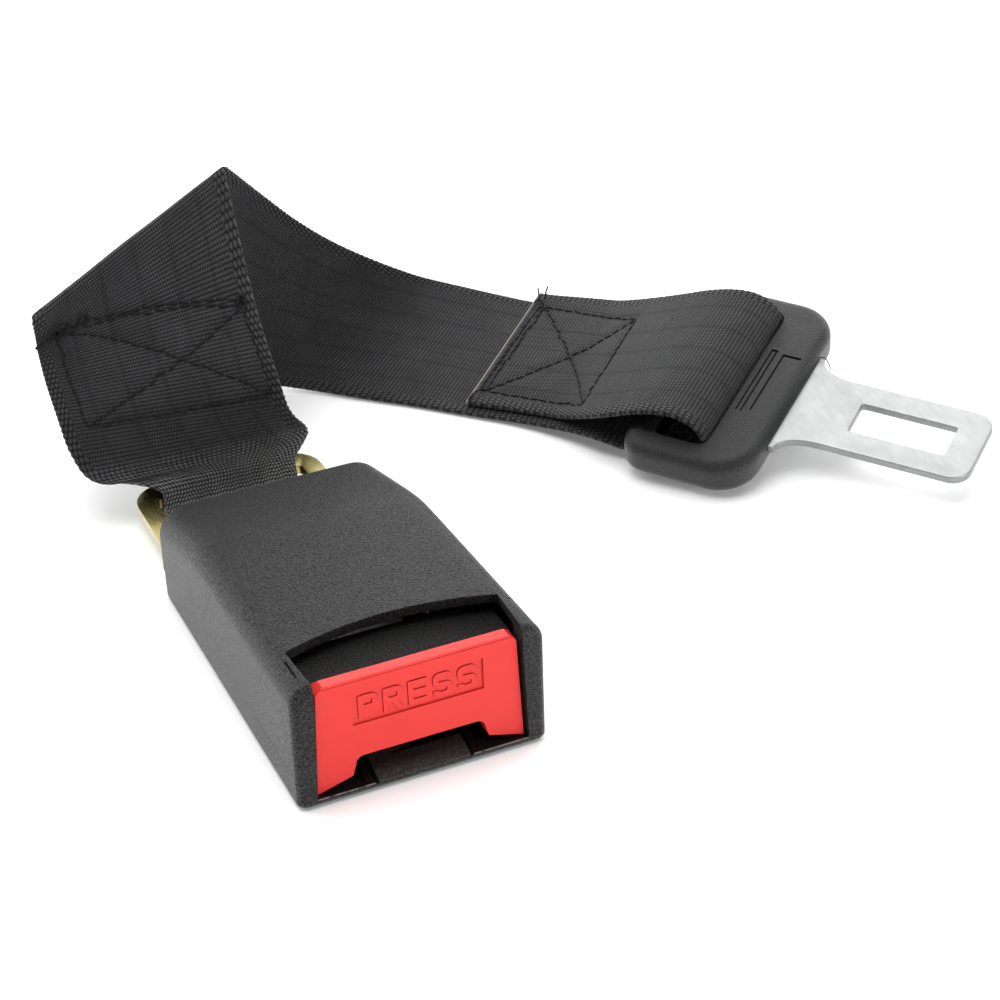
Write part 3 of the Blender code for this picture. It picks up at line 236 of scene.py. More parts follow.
# %% Node helpers
class Finish:
    """A material under construction: its node tree, its shader and short calls to add nodes."""

    def __init__(self, name, colour, roughness, metallic=0.0, specular=0.5):
        self.material = bpy.data.materials.new(name)
        self.material.use_nodes = True
        self.tree = self.material.node_tree
        self.shader = self.tree.nodes["Principled BSDF"]
        self.set("Base Color", (*colour, 1.0))
        self.set("Roughness", roughness)
        self.set("Metallic", metallic)
        self.set("Specular IOR Level", specular)
        self.place = self.tree.nodes.new("ShaderNodeTexCoord").outputs["Object"]

    def set(self, socket, value):
        """Give one of the shader's sockets a fixed value."""
        self.shader.inputs[socket].default_value = value

    def link(self, output, socket):
        """Join a node's output to a socket: the shader's, by its name, or any other."""
        target = self.shader.inputs[socket] if isinstance(socket, str) else socket
        self.tree.links.new(output, target)

    def feed(self, socket, value):
        """Put a number or another node's output into a socket."""
        if isinstance(value, (int, float)):
            socket.default_value = value
        else:
            self.tree.links.new(value, socket)

    def math(self, operation, first, second=0.0, third=0.0):
        """One Math node, fed with numbers or with other nodes' outputs."""
        node = self.tree.nodes.new("ShaderNodeMath")
        node.operation = operation
        for socket, value in zip(node.inputs, (first, second, third)):
            self.feed(socket, value)
        return node.outputs[0]

    def product(self, first, *others):
        """Two or more numbers or outputs multiplied together."""
        for other in others:
            first = self.math("MULTIPLY", first, other)
        return first

    def total(self, first, *others):
        """Two or more numbers or outputs added up."""
        for other in others:
            first = self.math("ADD", first, other)
        return first

    def minus(self, first, second):
        """First less second."""
        return self.math("SUBTRACT", first, second)

    def noise(self, scale, detail=3.0, roughness=0.55, where=None):
        """Smooth noise from 0 to 1, on object coordinates unless it is told where."""
        node = self.tree.nodes.new("ShaderNodeTexNoise")
        node.inputs["Scale"].default_value = scale
        node.inputs["Detail"].default_value = detail
        node.inputs["Roughness"].default_value = roughness
        self.tree.links.new(where or self.place, node.inputs["Vector"])
        return node.outputs["Fac"]

    def stretched(self, scale):
        """Object coordinates multiplied by a different number along each axis."""
        node = self.tree.nodes.new("ShaderNodeMapping")
        node.inputs["Scale"].default_value = scale
        self.tree.links.new(self.place, node.inputs["Vector"])
        return node.outputs["Vector"]

    def spread(self, value, low, high, to_low, to_high):
        """Map a number from one span to another, held at both ends."""
        node = self.tree.nodes.new("ShaderNodeMapRange")
        for socket, number in zip(node.inputs, (value, low, high, to_low, to_high)):
            self.feed(socket, number)
        return node.outputs[0]

    def blend(self, share, first, second):
        """The colour first * (1 - share) + second * share."""
        node = self.tree.nodes.new("ShaderNodeMix")
        node.data_type = "RGBA"
        self.feed(node.inputs["Factor"], share)
        for socket, colour in ((node.inputs["A"], first), (node.inputs["B"], second)):
            if isinstance(colour, tuple):
                socket.default_value = (*colour, 1.0)
            else:
                self.tree.links.new(colour, socket)
        return node.outputs["Result"]

    def bump(self, height, distance, strength=1.0):
        """Tilt the surface normals by a height field; distance is the height in metres at a value of 1."""
        node = self.tree.nodes.new("ShaderNodeBump")
        node.inputs["Distance"].default_value = distance
        node.inputs["Strength"].default_value = strength
        self.tree.links.new(height, node.inputs["Height"])
        self.tree.links.new(node.outputs["Normal"], self.shader.inputs["Normal"])


# %% [markdown]
# Moulded black plastic is told by its grain, and by how little it shines. Nearly all of its light is the
# room's reflection, so the colour itself is close to black. One noise drives both the bump and the gloss:
# pits are dull, and crests catch the light. The same noise puts pale flecks into the colour on the crests,
# which are painted glints. A flat grey would look chalky beside it.

# %% Moulded plastics
def grained_plastic(name, colour, light, roughness, grain, depth, dull, shiny):
    """Spark-eroded plastic: a fine noise is its height, its gloss and its painted glints; a slow one varies
    the glints.
    """
    finish = Finish(name, colour, roughness)
    fine = finish.noise(grain, 3.0, 0.75)
    slow = finish.noise(60, 3.0)
    # Painted glints: the highest crests of the grain get the paler colour.
    painted_glint = finish.spread(fine, 0.55, 0.72, 0.0, 1.0)
    share = finish.product(painted_glint, finish.spread(slow, 0.3, 0.75, 0.35, 1.0))
    finish.link(finish.blend(share, colour, light), "Base Color")
    finish.link(finish.spread(fine, 0.36, 0.64, dull, shiny), "Specular IOR Level")
    finish.bump(fine, depth, 0.8)
    return finish.material


# Name, colour, colour of the painted glints, roughness, grain, depth in metres, and the gloss of pits and of
# crests.
PLASTICS = (
    ("charcoal_plastic", (0.007, 0.007, 0.0068), (0.05, 0.05, 0.048), 0.4, 2600, 0.0011, 0.04, 0.52),
    ("black_plastic", (0.006, 0.0058, 0.0055), (0.06, 0.056, 0.05), 0.4, 2300, 0.0009, 0.05, 0.6),
    ("grip_plastic", (0.006, 0.0065, 0.0065), (0.02, 0.02, 0.02), 0.38, 2300, 0.0003, 0.22, 0.38),
)
charcoal, black, grip_plastic = (grained_plastic(*numbers) for numbers in PLASTICS)


def red_plastic(name, deep, light):
    """Satin red with a faint pull of paler red where the mould was polished."""
    finish = Finish(name, deep, 0.42, specular=0.28)
    slow = finish.noise(90, 3.0)
    finish.link(finish.blend(slow, deep, light), "Base Color")
    finish.link(finish.spread(finish.noise(900), 0.3, 0.7, 0.36, 0.5), "Roughness")
    finish.bump(finish.noise(2200, 2.0), 0.00003, 0.6)
    return finish.material


red = red_plastic("red_plastic", (0.69, 0.026, 0.021), (0.76, 0.038, 0.031))
print("plastics", [m.name for m in (charcoal, black, grip_plastic, red)])

# %% [markdown]
# Plated steel has a bright even face with faint drawn lines, so it is a metal whose roughness is streaked
# along one axis. Stretched noise gives the lines, where a wave texture would be too regular. Yellow zinc
# is the same metal under a thin film, which runs from straw to olive and is rubbed pale along its length.

# %% Metals
def plated_steel(name, colour, roughness, lines):
    """Bright plating over rolled steel: lines drawn along one axis show as streaks of roughness."""
    finish = Finish(name, colour, roughness, metallic=1.0)
    streak = finish.noise(1.0, 4.0, 0.6, finish.stretched(lines))
    cloud = finish.noise(140, 4.0)
    darker = tuple(0.86 * c for c in colour)
    finish.link(finish.blend(finish.spread(cloud, 0.35, 0.7, 0.0, 1.0), colour, darker), "Base Color")
    finish.link(finish.spread(streak, 0.3, 0.7, roughness - 0.07, roughness + 0.1), "Roughness")
    finish.bump(streak, 0.00001, 0.5)
    return finish.material


blade_steel = plated_steel("blade_steel", (0.37, 0.378, 0.373), 0.42, (900, 200, 900))
# A darker steel that paints shade on the blade's thin edges.
painted_shade_steel = plated_steel("painted_shade_steel", (0.22, 0.226, 0.226), 0.5, (900, 200, 900))
pin_steel = plated_steel("pin_steel", (0.7, 0.71, 0.72), 0.3, (200, 2000, 2000))
spring_wire = plated_steel("spring_wire", (0.55, 0.55, 0.56), 0.35, (1500, 1500, 1500))


def yellow_zinc():
    """Zinc with a yellow film that runs to olive and straw, rubbed along its length to a paler metal."""
    finish = Finish("yellow_zinc", (0.6, 0.52, 0.26), 0.3, metallic=1.0)
    patches = finish.noise(70, 2.0, 0.5)
    wear_and_edge_highlight = finish.noise(1.0, 3.0, 0.6, finish.stretched((2600, 300, 2600)))
    olive = finish.spread(patches, 0.35, 0.65, 0.0, 1.0)
    film = finish.blend(olive, (0.37, 0.31, 0.125), (0.27, 0.225, 0.075))
    worn = finish.spread(wear_and_edge_highlight, 0.5, 0.7, 0.0, 0.5)
    finish.link(finish.blend(worn, film, (0.5, 0.45, 0.26)), "Base Color")
    finish.link(finish.spread(wear_and_edge_highlight, 0.3, 0.7, 0.26, 0.36), "Roughness")
    return finish.material


zinc = yellow_zinc()
print("metals", [m.name for m in (blade_steel, painted_shade_steel, pin_steel, spring_wire, zinc)])

# %% [markdown]
# ## The housing
# The buckle's housing is two moulded shells. Seen along its length its section is a box with broad rounded
# top edges, flat at the bottom. The section stays nearly the same from the button back to a soft crease,
# behind which the roof slopes down. A bevelled box would give the corners but not that crease, so the
# shell is the one section carried along Y, with its width and height worked out at each station.

# %% Housing sizes
FRONT, REAR = -43 * MM, 43 * MM
FRONT_WIDTH, REAR_WIDTH = 52 * MM, 50.6 * MM
ROOF, REAR_ROOF = 27.8 * MM, 21.4 * MM
CREASE = 14 * MM
CREASE_SOFTNESS = 2 * MM
WALL = 2 * MM
FRONT_WALL = 5 * MM
PARTING = 7.4 * MM
SEAM = 0.04 * MM
MOUTH_HALF, MOUTH_TOP_HALF = 22.1 * MM, 21.1 * MM
MOUTH_SILL = 1.6 * MM
print("housing", [round(size / MM, 1) for size in (FRONT_WIDTH, REAR - FRONT, ROOF)], "mm")


def half_width(y):
    """Half the housing's width: a straight taper from front to rear."""
    return (FRONT_WIDTH + (REAR_WIDTH - FRONT_WIDTH) * (y - FRONT) / (REAR - FRONT)) / 2


def roof_height(y):
    """Flat, then sloping past the crease; a soft ramp k*log(1 + exp(x/k)) rounds the bend."""
    slope = (ROOF - REAR_ROOF) / (REAR - CREASE)
    return ROOF - slope * CREASE_SOFTNESS * np.logaddexp(0, (y - CREASE) / CREASE_SOFTNESS)


def housing_sections(y, inset, low, radius, steps=12):
    """One ring per station y: two bottom corners, then an arc over each top edge."""
    half = (half_width(y) - inset)[:, None]
    top = (roof_height(y) - inset)[:, None]
    low = np.broadcast_to(np.asarray(low, dtype=float), y.shape)[:, None]
    r = np.broadcast_to(np.asarray(radius, dtype=float), y.shape)[:, None]
    turn = np.radians(np.linspace(0, 90, steps + 1))[None, :]
    right_x, right_z = half - r + r * np.cos(turn), top - r + r * np.sin(turn)
    x = np.concatenate([-half, half, right_x, -right_x[:, ::-1]], axis=1)
    z = np.concatenate([low, low, right_z, right_z[:, ::-1]], axis=1)
    return np.stack([x, np.broadcast_to(y[:, None], x.shape), z], axis=2)


def drawn_in(front, rear, front_round, rear_round, steps=7, middle=26):
    """Stations along Y and how far each is drawn in, so that both ends roll over a quarter circle."""
    front_inset, front_rise = rolled_edge(front_round, steps)
    rear_inset, rear_rise = rolled_edge(rear_round, steps)
    near, far = front + front_rise, (rear - rear_rise)[::-1]
    between = np.linspace(near[-1], far[0], middle)[1:-1]
    inset = np.concatenate([front_inset, 0 * between, rear_inset[::-1]])
    return np.concatenate([near, between, far]), inset


# %% Upper shell
FRONT_ROUND, REAR_ROUND = 1.6 * MM, 3.2 * MM
EDGE_RADII, INSIDE_RADII = (4.2 * MM, 6.6 * MM), (2.4 * MM, 4.6 * MM)
stations, draw = drawn_in(FRONT, REAR, FRONT_ROUND, REAR_ROUND)
edge_radius = np.interp(stations, (FRONT, REAR), EDGE_RADII)
upper = closed_rings("upper_shell", housing_sections(stations, draw, PARTING + SEAM, edge_radius))
inside_y, inside_draw = drawn_in(FRONT + FRONT_WALL, REAR - WALL, 1 * MM, 2 * MM, 4, 12)
inside_radius = np.interp(inside_y, (FRONT, REAR), INSIDE_RADII)
hollow = housing_sections(inside_y, inside_draw + WALL, PARTING - 5 * MM, inside_radius, 6)
carve(upper, closed_rings("hollow", hollow))
print("upper shell", len(stations), "rings outside,", len(inside_y), "inside")

# %% [markdown]
# Three openings are cut in the shell: the mouth in front, the curved cut-out in the roof through which the
# button is pressed, and a narrow slit beside it. The cut-out's rear edge is a parabola, which is flat in
# its middle as the real edge is. A pin mark from the mould is one more small round cut.

# %% Openings in the upper shell
MOUTH_SHAPE = np.array(
    [
        (-MOUTH_HALF, MOUTH_SILL),
        (MOUTH_HALF, MOUTH_SILL),
        (MOUTH_TOP_HALF, ROOF + MM),
        (-MOUTH_TOP_HALF, ROOF + MM),
    ]
)
carve(upper, extruded("opening", MOUTH_SHAPE, FRONT - 5 * MM, FRONT + FRONT_WALL + MM, "Y"))
CUTOUT_HALF, CUTOUT_BACK, CUTOUT_RISE, CUTOUT_FLOOR = 22 * MM, FRONT + 13 * MM, 4 * MM, 19 * MM
share = np.linspace(1, -1, 25)
back_edge = np.stack([share * CUTOUT_HALF, CUTOUT_BACK + CUTOUT_RISE * (1 - share**2)], axis=1)
front_edge = np.array([(-MOUTH_TOP_HALF, FRONT - 5 * MM), (MOUTH_TOP_HALF, FRONT - 5 * MM)])
carve(upper, extruded("cutout", np.concatenate([front_edge, back_edge]), CUTOUT_FLOOR, ROOF + 5 * MM))
slit = rectangle(-23.15 * MM, -22.75 * MM, FRONT + 4.5 * MM, FRONT + 10.4 * MM)
carve(upper, extruded("slit", slit, ROOF - 1.2 * MM, ROOF + MM))
pit = arc((23.7 * MM, -31.6 * MM), 0.35 * MM, 0, 330, 11)
carve(upper, extruded("pit", pit, ROOF - 1 * MM, ROOF + MM))
round_edges(upper, 0.35 * MM, 3, keep_height=PARTING + SEAM)
dress(upper, charcoal, "buckle", ["upper_cover"])

# %% [markdown]
# The lower shell is a tray. Its rounding runs the other way, under the bottom edge. It could be a section
# carried along Y too, but then its upright corners would come out square. So its rings are plan outlines
# stacked in Z, each drawn in a little less than the one below until the wall stands straight.

# %% Lower shell
def plan_outline(inset, front_inset, corner, front_corner):
    """The housing seen from above: small corners in front, larger ones behind."""
    front, rear = FRONT + front_inset, REAR - inset
    right = np.concatenate(
        [
            arc((half_width(front) - inset - front_corner, front + front_corner), front_corner, -90, 0, 6),
            arc((half_width(rear) - inset - corner, rear - corner), corner, 0, 90, 8),
        ]
    )
    return np.concatenate([right, right[::-1] * (-1, 1)])


def at_height(outline, z):
    """Outline (n, 2) with the height as a third column."""
    return np.column_stack([outline, np.full(len(outline), z)])


BOTTOM_ROUND, FLOOR_THICK = 1.6 * MM, 1.5 * MM
CORNER, FRONT_CORNER = 4 * MM, 1.6 * MM
PASSAGE_HALF = 22.5 * MM
rolled = zip(*rolled_edge(BOTTOM_ROUND, 6))
levels = [at_height(plan_outline(i, i, CORNER, FRONT_CORNER), z) for i, z in rolled]
levels.append(at_height(plan_outline(0, 0, CORNER, FRONT_CORNER), PARTING - SEAM))
lower = closed_rings("lower_shell", np.array(levels))
well = plan_outline(WALL, FRONT_WALL, 2 * MM, 1 * MM)
carve(lower, extruded("well", well, FLOOR_THICK, PARTING + MM))
carve(lower, extruded("mouth", MOUTH_SHAPE, FRONT - MM, FRONT + FRONT_WALL + MM, "Y"))
passage = rectangle(-PASSAGE_HALF, PASSAGE_HALF, REAR - WALL - MM, REAR + MM)
carve(lower, extruded("passage", passage, FLOOR_THICK, PARTING + MM))
round_edges(lower, 0.3 * MM, 3, keep_height=PARTING - SEAM)
dress(lower, charcoal, "buckle", ["lower_cover"])

# %% [markdown]
# ## The push button
# The red cap is a thick plate with a narrow top face that slopes away behind, a notch for the blade with
# filleted corners, and a sunk panel. Seen from the front it is one outline, so it is that outline carried
# along Y, and the slope, the panel and a fine line under the top edge are cut out of it.

# %% Red cap
CAP_FRONT, CAP_BACK = -41.5 * MM, -37.5 * MM
CAP_HALF, CAP_TOP_HALF, CAP_LOW, CAP_TOP = 21.6 * MM, 20.6 * MM, 1.9 * MM, 26.0 * MM
NOTCH_HALF, NOTCH_FOOT_HALF, NOTCH_TOP, FOOT_LIFT = 13.5 * MM, 14.2 * MM, 8.1 * MM, 2.1 * MM
CAP_CORNER, FILLET, TOP_DEPTH, TOP_SLOPE = 1.6 * MM, 1.8 * MM, 2.5 * MM, 2.6 * MM
left_side = np.concatenate(
    [
        [(-CAP_TOP_HALF, CAP_TOP - CAP_CORNER), (-CAP_HALF, CAP_LOW)],
        [(-NOTCH_FOOT_HALF, CAP_LOW + FOOT_LIFT)],
        arc((-NOTCH_HALF + FILLET, NOTCH_TOP - FILLET), FILLET, 180, 90, 6),
    ]
)
right_side = left_side[::-1] * (-1, 1)
top_corners = [(CAP_TOP_HALF - CAP_CORNER, CAP_TOP), (-CAP_TOP_HALF + CAP_CORNER, CAP_TOP)]
cap_outline = np.concatenate([left_side, right_side, top_corners])
cap = extruded("button_cap_red", cap_outline, CAP_FRONT, CAP_BACK, "Y")
wedge = [
    (CAP_FRONT + TOP_DEPTH - MM, CAP_TOP + MM),
    (CAP_BACK + MM, CAP_TOP + MM),
    (CAP_BACK + MM, CAP_TOP - TOP_SLOPE),
]
carve(cap, extruded("wedge", wedge, -CAP_HALF - MM, CAP_HALF + MM, "X"))
PANEL_HALF, PANEL_LOW, PANEL_HIGH, PANEL_DEPTH = 13.5 * MM, 15.4 * MM, 22.4 * MM, 0.45 * MM
panel = rectangle(-PANEL_HALF, PANEL_HALF, PANEL_LOW, PANEL_HIGH)
carve(cap, extruded("panel", panel, CAP_FRONT - MM, CAP_FRONT + PANEL_DEPTH, "Y"))
round_edges(cap, 0.4 * MM, 4)
crease = rectangle(CAP_FRONT - MM, CAP_FRONT + 0.2 * MM, CAP_TOP - 0.72 * MM, CAP_TOP - 0.58 * MM)
carve(cap, extruded("crease", crease, -CAP_HALF - MM, CAP_HALF + MM, "X"))
print("cap", len(cap.data.polygons), "faces before its letters")

# %% [markdown]
# The plain function word stands up from the panel's floor in block letters. Blender's text object would
# bring in a font's shapes. Here each letter is a few strokes of one width instead: a centre line through
# corner points, rounded at its bends and thickened to both sides. The bend's radius is more than half the
# widest stroke, or the inner side of the outline would cross itself and the cut would fail.

# %% Letter strokes
LETTER_WIDTH, LETTER_HEIGHT, LETTER_PITCH = 2.9 * MM, 4.3 * MM, 5.1 * MM
STROKE, BEND = 1.1 * MM, 0.78 * MM


def bent_line(*corners):
    """Corners in letter widths and heights; each bend is p + r * (a * (1 - sin t) + b * (1 - cos t))."""
    corners = np.array(corners) * (LETTER_WIDTH, LETTER_HEIGHT)
    points = [corners[0]]
    for before, here, after in zip(corners[:-2], corners[1:-1], corners[2:]):
        enter, leave = unit(before - here), unit(after - here)
        t = np.radians(np.linspace(0, 90, 5))[:, None]
        points.extend(here + BEND * (enter * (1 - np.sin(t)) + leave * (1 - np.cos(t))))
    points.append(corners[-1])
    return np.array(points)


BOWL = bent_line((0, 1), (1, 1), (1, 0.46), (0, 0.46))
STEM = bent_line((0, -0.12), (0, 1.12))
ESS = bent_line((1, 0.78), (1, 1), (0, 1), (0, 0.5), (1, 0.5), (1, 0), (0, 0), (0, 0.22))
LETTER_STROKES = {
    "P": (STEM, BOWL),
    "R": (STEM, BOWL, bent_line((0.55, 0.46), (1.0, -0.12))),
    "E": (STEM, *(bent_line((0, h), (1.12, h)) for h in (0, 0.5, 1))),
    "S": (ESS,),
}


def thickened(line, width):
    """Outline of a line with a width: each point moved half of it to either side, mitred at the bends."""
    edges = np.diff(line, axis=0)
    normals = unit(np.stack([-edges[:, 1], edges[:, 0]], axis=1))
    before, after = np.concatenate([normals[:1], normals]), np.concatenate([normals, normals[-1:]])
    mean = unit(before + after)
    offset = width / 2 * mean / (mean * before).sum(1)[:, None]
    return np.concatenate([line + offset, (line - offset)[::-1]])


def word_strokes(word, width, low, high):
    """Each letter's strokes with a width, extruded between two depths: one solid per stroke."""
    start = -LETTER_PITCH * (len(word) - 1) / 2 - LETTER_WIDTH / 2
    base = (PANEL_LOW + PANEL_HIGH - LETTER_HEIGHT) / 2
    for i, letter in enumerate(word):
        for line in LETTER_STROKES[letter]:
            placed = line + (start + i * LETTER_PITCH, base)
            yield extruded("stroke", thickened(placed, width), CAP_FRONT + low, CAP_FRONT + high, "Y")


def paint_shade_on_walls(piece, material, low, high, facing=(0, 1, 0)):
    """Paint shade: faces between two corners that stand steep to a direction get a second, darker finish."""
    piece.data.materials.append(material)
    count = len(piece.data.polygons)
    centres, normals = np.zeros(count * 3), np.zeros(count * 3)
    piece.data.polygons.foreach_get("center", centres)
    piece.data.polygons.foreach_get("normal", normals)
    centres, normals = centres.reshape(-1, 3), normals.reshape(-1, 3)
    inside = np.all((centres > low) & (centres < high), axis=1)
    steep = np.abs(normals @ np.array(facing)) < 0.6
    piece.data.polygons.foreach_set("material_index", (inside & steep).astype(np.int32))
    print(piece.name, int((inside & steep).sum()), "faces in", material.name)


# %% [markdown]
# The word is used twice: a little wider and deeper it cuts a fine groove in the panel's floor, and at its
# own width it makes the letters. The steep walls get a darker red, which is painted shade. They lie in a
# corner that light hardly reaches on the real button, and the line they make is what lets the word be read.

# %% Word on the panel
WORD, GROOVE, GROOVE_DEPTH, LETTER_FACE = "PRESS", 0.24 * MM, 0.12 * MM, 0.22 * MM
for cutter in word_strokes(WORD, STROKE + GROOVE, PANEL_DEPTH - 0.2 * MM, PANEL_DEPTH + GROOVE_DEPTH):
    carve(cap, cutter)
even_shading(cap)
dress(cap, red, "button", ["button_cap"])
letters, *others = word_strokes(WORD, STROKE, LETTER_FACE, PANEL_DEPTH + 0.3 * MM)
letters.name = "button_letters"
for stroke in others:
    carve(letters, stroke, "UNION")
even_shading(letters)
dress(letters, red, "button")
# Painted shade: a darker red for the steep walls of the letters, the groove and the panel's edge.
painted_shade_red = red_plastic("red_plastic_painted_shade", (0.42, 0.018, 0.014), (0.55, 0.024, 0.02))
AROUND = 0.5 * MM
panel_low = (-PANEL_HALF - AROUND, CAP_FRONT + 0.02 * MM, PANEL_LOW - AROUND)
panel_high = (PANEL_HALF + AROUND, CAP_BACK, PANEL_HIGH + AROUND)
paint_shade_on_walls(letters, painted_shade_red, panel_low, panel_high)
paint_shade_on_walls(cap, painted_shade_red, panel_low, panel_high)

# %% [markdown]
# ## Behind the button
# The carrier under the curved cut-out, the steel frame and the latch keep the frame's own shapes. Those
# that show get their corners rolled over, because a stamped or moulded edge is never knife sharp and its
# thin highlight is what makes it read as real. The frame's meshes are loose triangles, so a copy is merged
# and its flat areas joined before its edges are rolled over.

# %% Carrier, frame and small steel
carrier = merged_copy("button_carrier", "button_slider")
round_edges(carrier, 0.3 * MM, 2)
dress(carrier, black, "button", ["button_carrier"])
anchor = merged_copy("anchor_frame", "zinc_frame")
round_edges(anchor, 0.5 * MM, 3)
dress(anchor, zinc, "buckle", ["anchor_frame"])
for node, finish in (
    ("latch_plate", pin_steel),
    ("latch_hinge_pin", pin_steel),
    ("lock_pin", pin_steel),
    ("latch_spring", spring_wire),
    ("ejector", black),
):
    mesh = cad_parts[node].data
    mesh.materials.clear()
    mesh.materials.append(finish)
    print(node, "in", finish.name)

# %% [markdown]
# The button's two springs and the ejector's spring shorten as their joint moves. A rigid spring would cut
# through the piece that pushes it. Here each is only a merged, smoothed copy of the frame's spring in the
# wire finish; it isn't squashed.

# %% Springs
BUTTON_TRAVEL, EJECTOR_TRAVEL = 5 * MM, 12 * MM
for node, joint, travel in (
    ("button_spring_left", "button_press", BUTTON_TRAVEL),
    ("button_spring_right", "button_press", BUTTON_TRAVEL),
    ("ejector_spring", "ejector_slide", EJECTOR_TRAVEL),
):
    spring = merged_copy(node, node + "_wire")
    smooth(spring, 60)
    dress(spring, spring_wire, "buckle", [node])
    front_end, rear_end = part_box(node)
    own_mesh(spring)

# %% [markdown]
# The ramp under the notch guides the blade in. It is made new, because its middle tab has a coarse texture
# and stands free between two slits, which the imported model doesn't show. Both parts are profiles seen from
# the side and carried across. A thin pale line along the liner's front edge is a painted highlight, drawn by
# its distance along Y: the colour is dark again a quarter of a millimetre behind the edge.

# %% Ramp finishes
def coarse_plastic():
    """Glossy brown-black plastic with a sandy texture."""
    finish = Finish("coarse_plastic", (0.014, 0.011, 0.0115), 0.34, specular=0.3)
    sand = finish.noise(2600, 3.0, 0.7)
    grains = finish.spread(sand, 0.5, 0.68, 0.0, 1.0)
    finish.link(finish.blend(grains, (0.014, 0.011, 0.0115), (0.075, 0.063, 0.065)), "Base Color")
    finish.bump(sand, 0.00025, 1.0)
    return finish.material


LINER_FRONT, LINER_TOP = FRONT + 0.1 * MM, MOUTH_SILL + 0.22 * MM


def liner_plastic():
    """Dark glossy plastic with a thin pale line along its front edge, which is a painted highlight."""
    finish = Finish("liner_plastic", (0.006, 0.0045, 0.0045), 0.3, specular=0.25)
    parts = finish.tree.nodes.new("ShaderNodeSeparateXYZ")
    finish.link(finish.place, parts.inputs[0])
    # Painted highlight: the front edge's pale line, broken up by a noise.
    wear_and_edge_highlight = finish.spread(parts.outputs["Y"], LINER_FRONT + 0.16 * MM, LINER_FRONT + 0.24 * MM, 1.0, 0.0)
    painted_edge_highlight = finish.product(wear_and_edge_highlight, finish.spread(finish.noise(700, 3.0), 0.36, 0.5, 0.15, 1.0))
    finish.link(finish.blend(painted_edge_highlight, (0.006, 0.0045, 0.0045), (0.2, 0.19, 0.18)), "Base Color")
    finish.bump(finish.noise(500, 3.0), 0.00008, 0.6)
    return finish.material


# %% Ramp and tab
TAB_HALF, SLIT_WIDTH, RAMP_HALF = 9.6 * MM, 0.7 * MM, 11.9 * MM
GUIDE_BACK = FRONT + 10 * MM
liner_outline = rectangle(-MOUTH_HALF + 0.1 * MM, MOUTH_HALF - 0.1 * MM, LINER_FRONT, FRONT + 1.6 * MM)
liner = extruded("mouth_liner", liner_outline, MOUTH_SILL - 0.1 * MM, LINER_TOP)
ramp_profile = [
    (FRONT + 1.4 * MM, MOUTH_SILL),
    (GUIDE_BACK, MOUTH_SILL + 0.25 * MM),
    (GUIDE_BACK, 4.0 * MM),
    (GUIDE_BACK - 3 * MM, 4.0 * MM),
    (FRONT + 1.4 * MM, LINER_TOP),
]
carve(liner, extruded("slope", ramp_profile, -RAMP_HALF, RAMP_HALF, "X"), "UNION")
tab_room = rectangle(-TAB_HALF - SLIT_WIDTH, TAB_HALF + SLIT_WIDTH, FRONT - MM, GUIDE_BACK - 3 * MM)
carve(liner, extruded("tab_room", tab_room, 0, 6 * MM))
round_edges(liner, 0.06 * MM, 1)
dress(liner, liner_plastic(), "buckle", ["mouth_guide"])
tab_profile = [
    (FRONT + 0.05 * MM, MOUTH_SILL - 0.3 * MM),
    (GUIDE_BACK - 3.2 * MM, 3.8 * MM),
    (GUIDE_BACK - 3.2 * MM, 4.4 * MM),
    (FRONT + 1.2 * MM, 2.5 * MM),
    (FRONT + 0.05 * MM, 2.0 * MM),
]
tab = extruded("mouth_tab", tab_profile, -TAB_HALF, TAB_HALF, "X")
round_edges(tab, 0.15 * MM, 2)
dress(tab, coarse_plastic(), "buckle")

# %% [markdown]
# ## The webbing
# The strap is one ribbon, folded over itself and sewn. A cloth simulation could lay it down, but it would
# not lie where the real one does. A ribbon's surface can also be drawn by its rulings: a straight line
# across it at each step along it, given by its left end and its right end in millimetres. A few measured
# rulings are enough, because webbing hardly stretches and so bends like paper.

# %% Rulings
BAR = np.array([0, 74, 5.2]) * MM
TONGUE_AXIS = Vector((109.8 * MM, 57 * MM, 12.9 * MM))
TONGUE_TURNS = (12.65, 2.87, -51.75)
WEB_WIDTH, WEB_THICK, LAYER_GAP = 48 * MM, 1.2 * MM, 0.3 * MM
BUNCHED_HALF, LOOP_RADIUS, RETURN_SHIFT = 16 * MM, 4.6 * MM, 2.3 * MM
BOTTOM_STITCH, TOP_STITCH, CUT_END = 5, 7.35, 16.9
RULINGS = (
    ((-15.6, -3.4, 8.6), (15.6, -4.6, 9.6)),
    ((-22.5, 0.5, 10.2), (17.8, -5.4, 13.2)),
    ((-30.8, 2.0, 11.2), (19.6, -6.0, 16.8)),
    ((-34, 5.2, 19.0), (15.2, -6.6, 21)),
    ((-34.3, 8.5, 24.5), (14, -5, 27.5)),
    ((-34.6, 15, 31), (14, 4, 36.5)),
    ((-34.5, 19.5, 36.5), (14.7, 13, 43)),
    ((-34.1, 22.2, 41.1), (17.3, 33.2, 63.3)),
    ((-33.8, 25, 43.9), (17.7, 36, 66.1)),
    ((-31.2, 27.2, 41.8), (20.1, 37.7, 63.4)),
    ((-14, 42.5, 27.5), (28.6, 44, 53.5)),
    ((4, 48, 13.5), (39.1, 47.5, 42)),
    ((18, 47, 4.2), (52.8, 52, 30)),
    ((33, 42, 1), (71, 57.5, 17)),
    ((45.1, 29.7, 0.8), (80.5, 55.5, 13)),
    ((56.4, 19, 0.8), (92.5, 49.5, 9)),
    ((64.8, 9.6, 0.9), (99.9, 41.5, 8.4)),
    ((74.5, -0.8, 1.3), (109.5, 31, 9.6)),
    ((82.2, -14, 3.2), (115.4, 16, 13.6)),
)
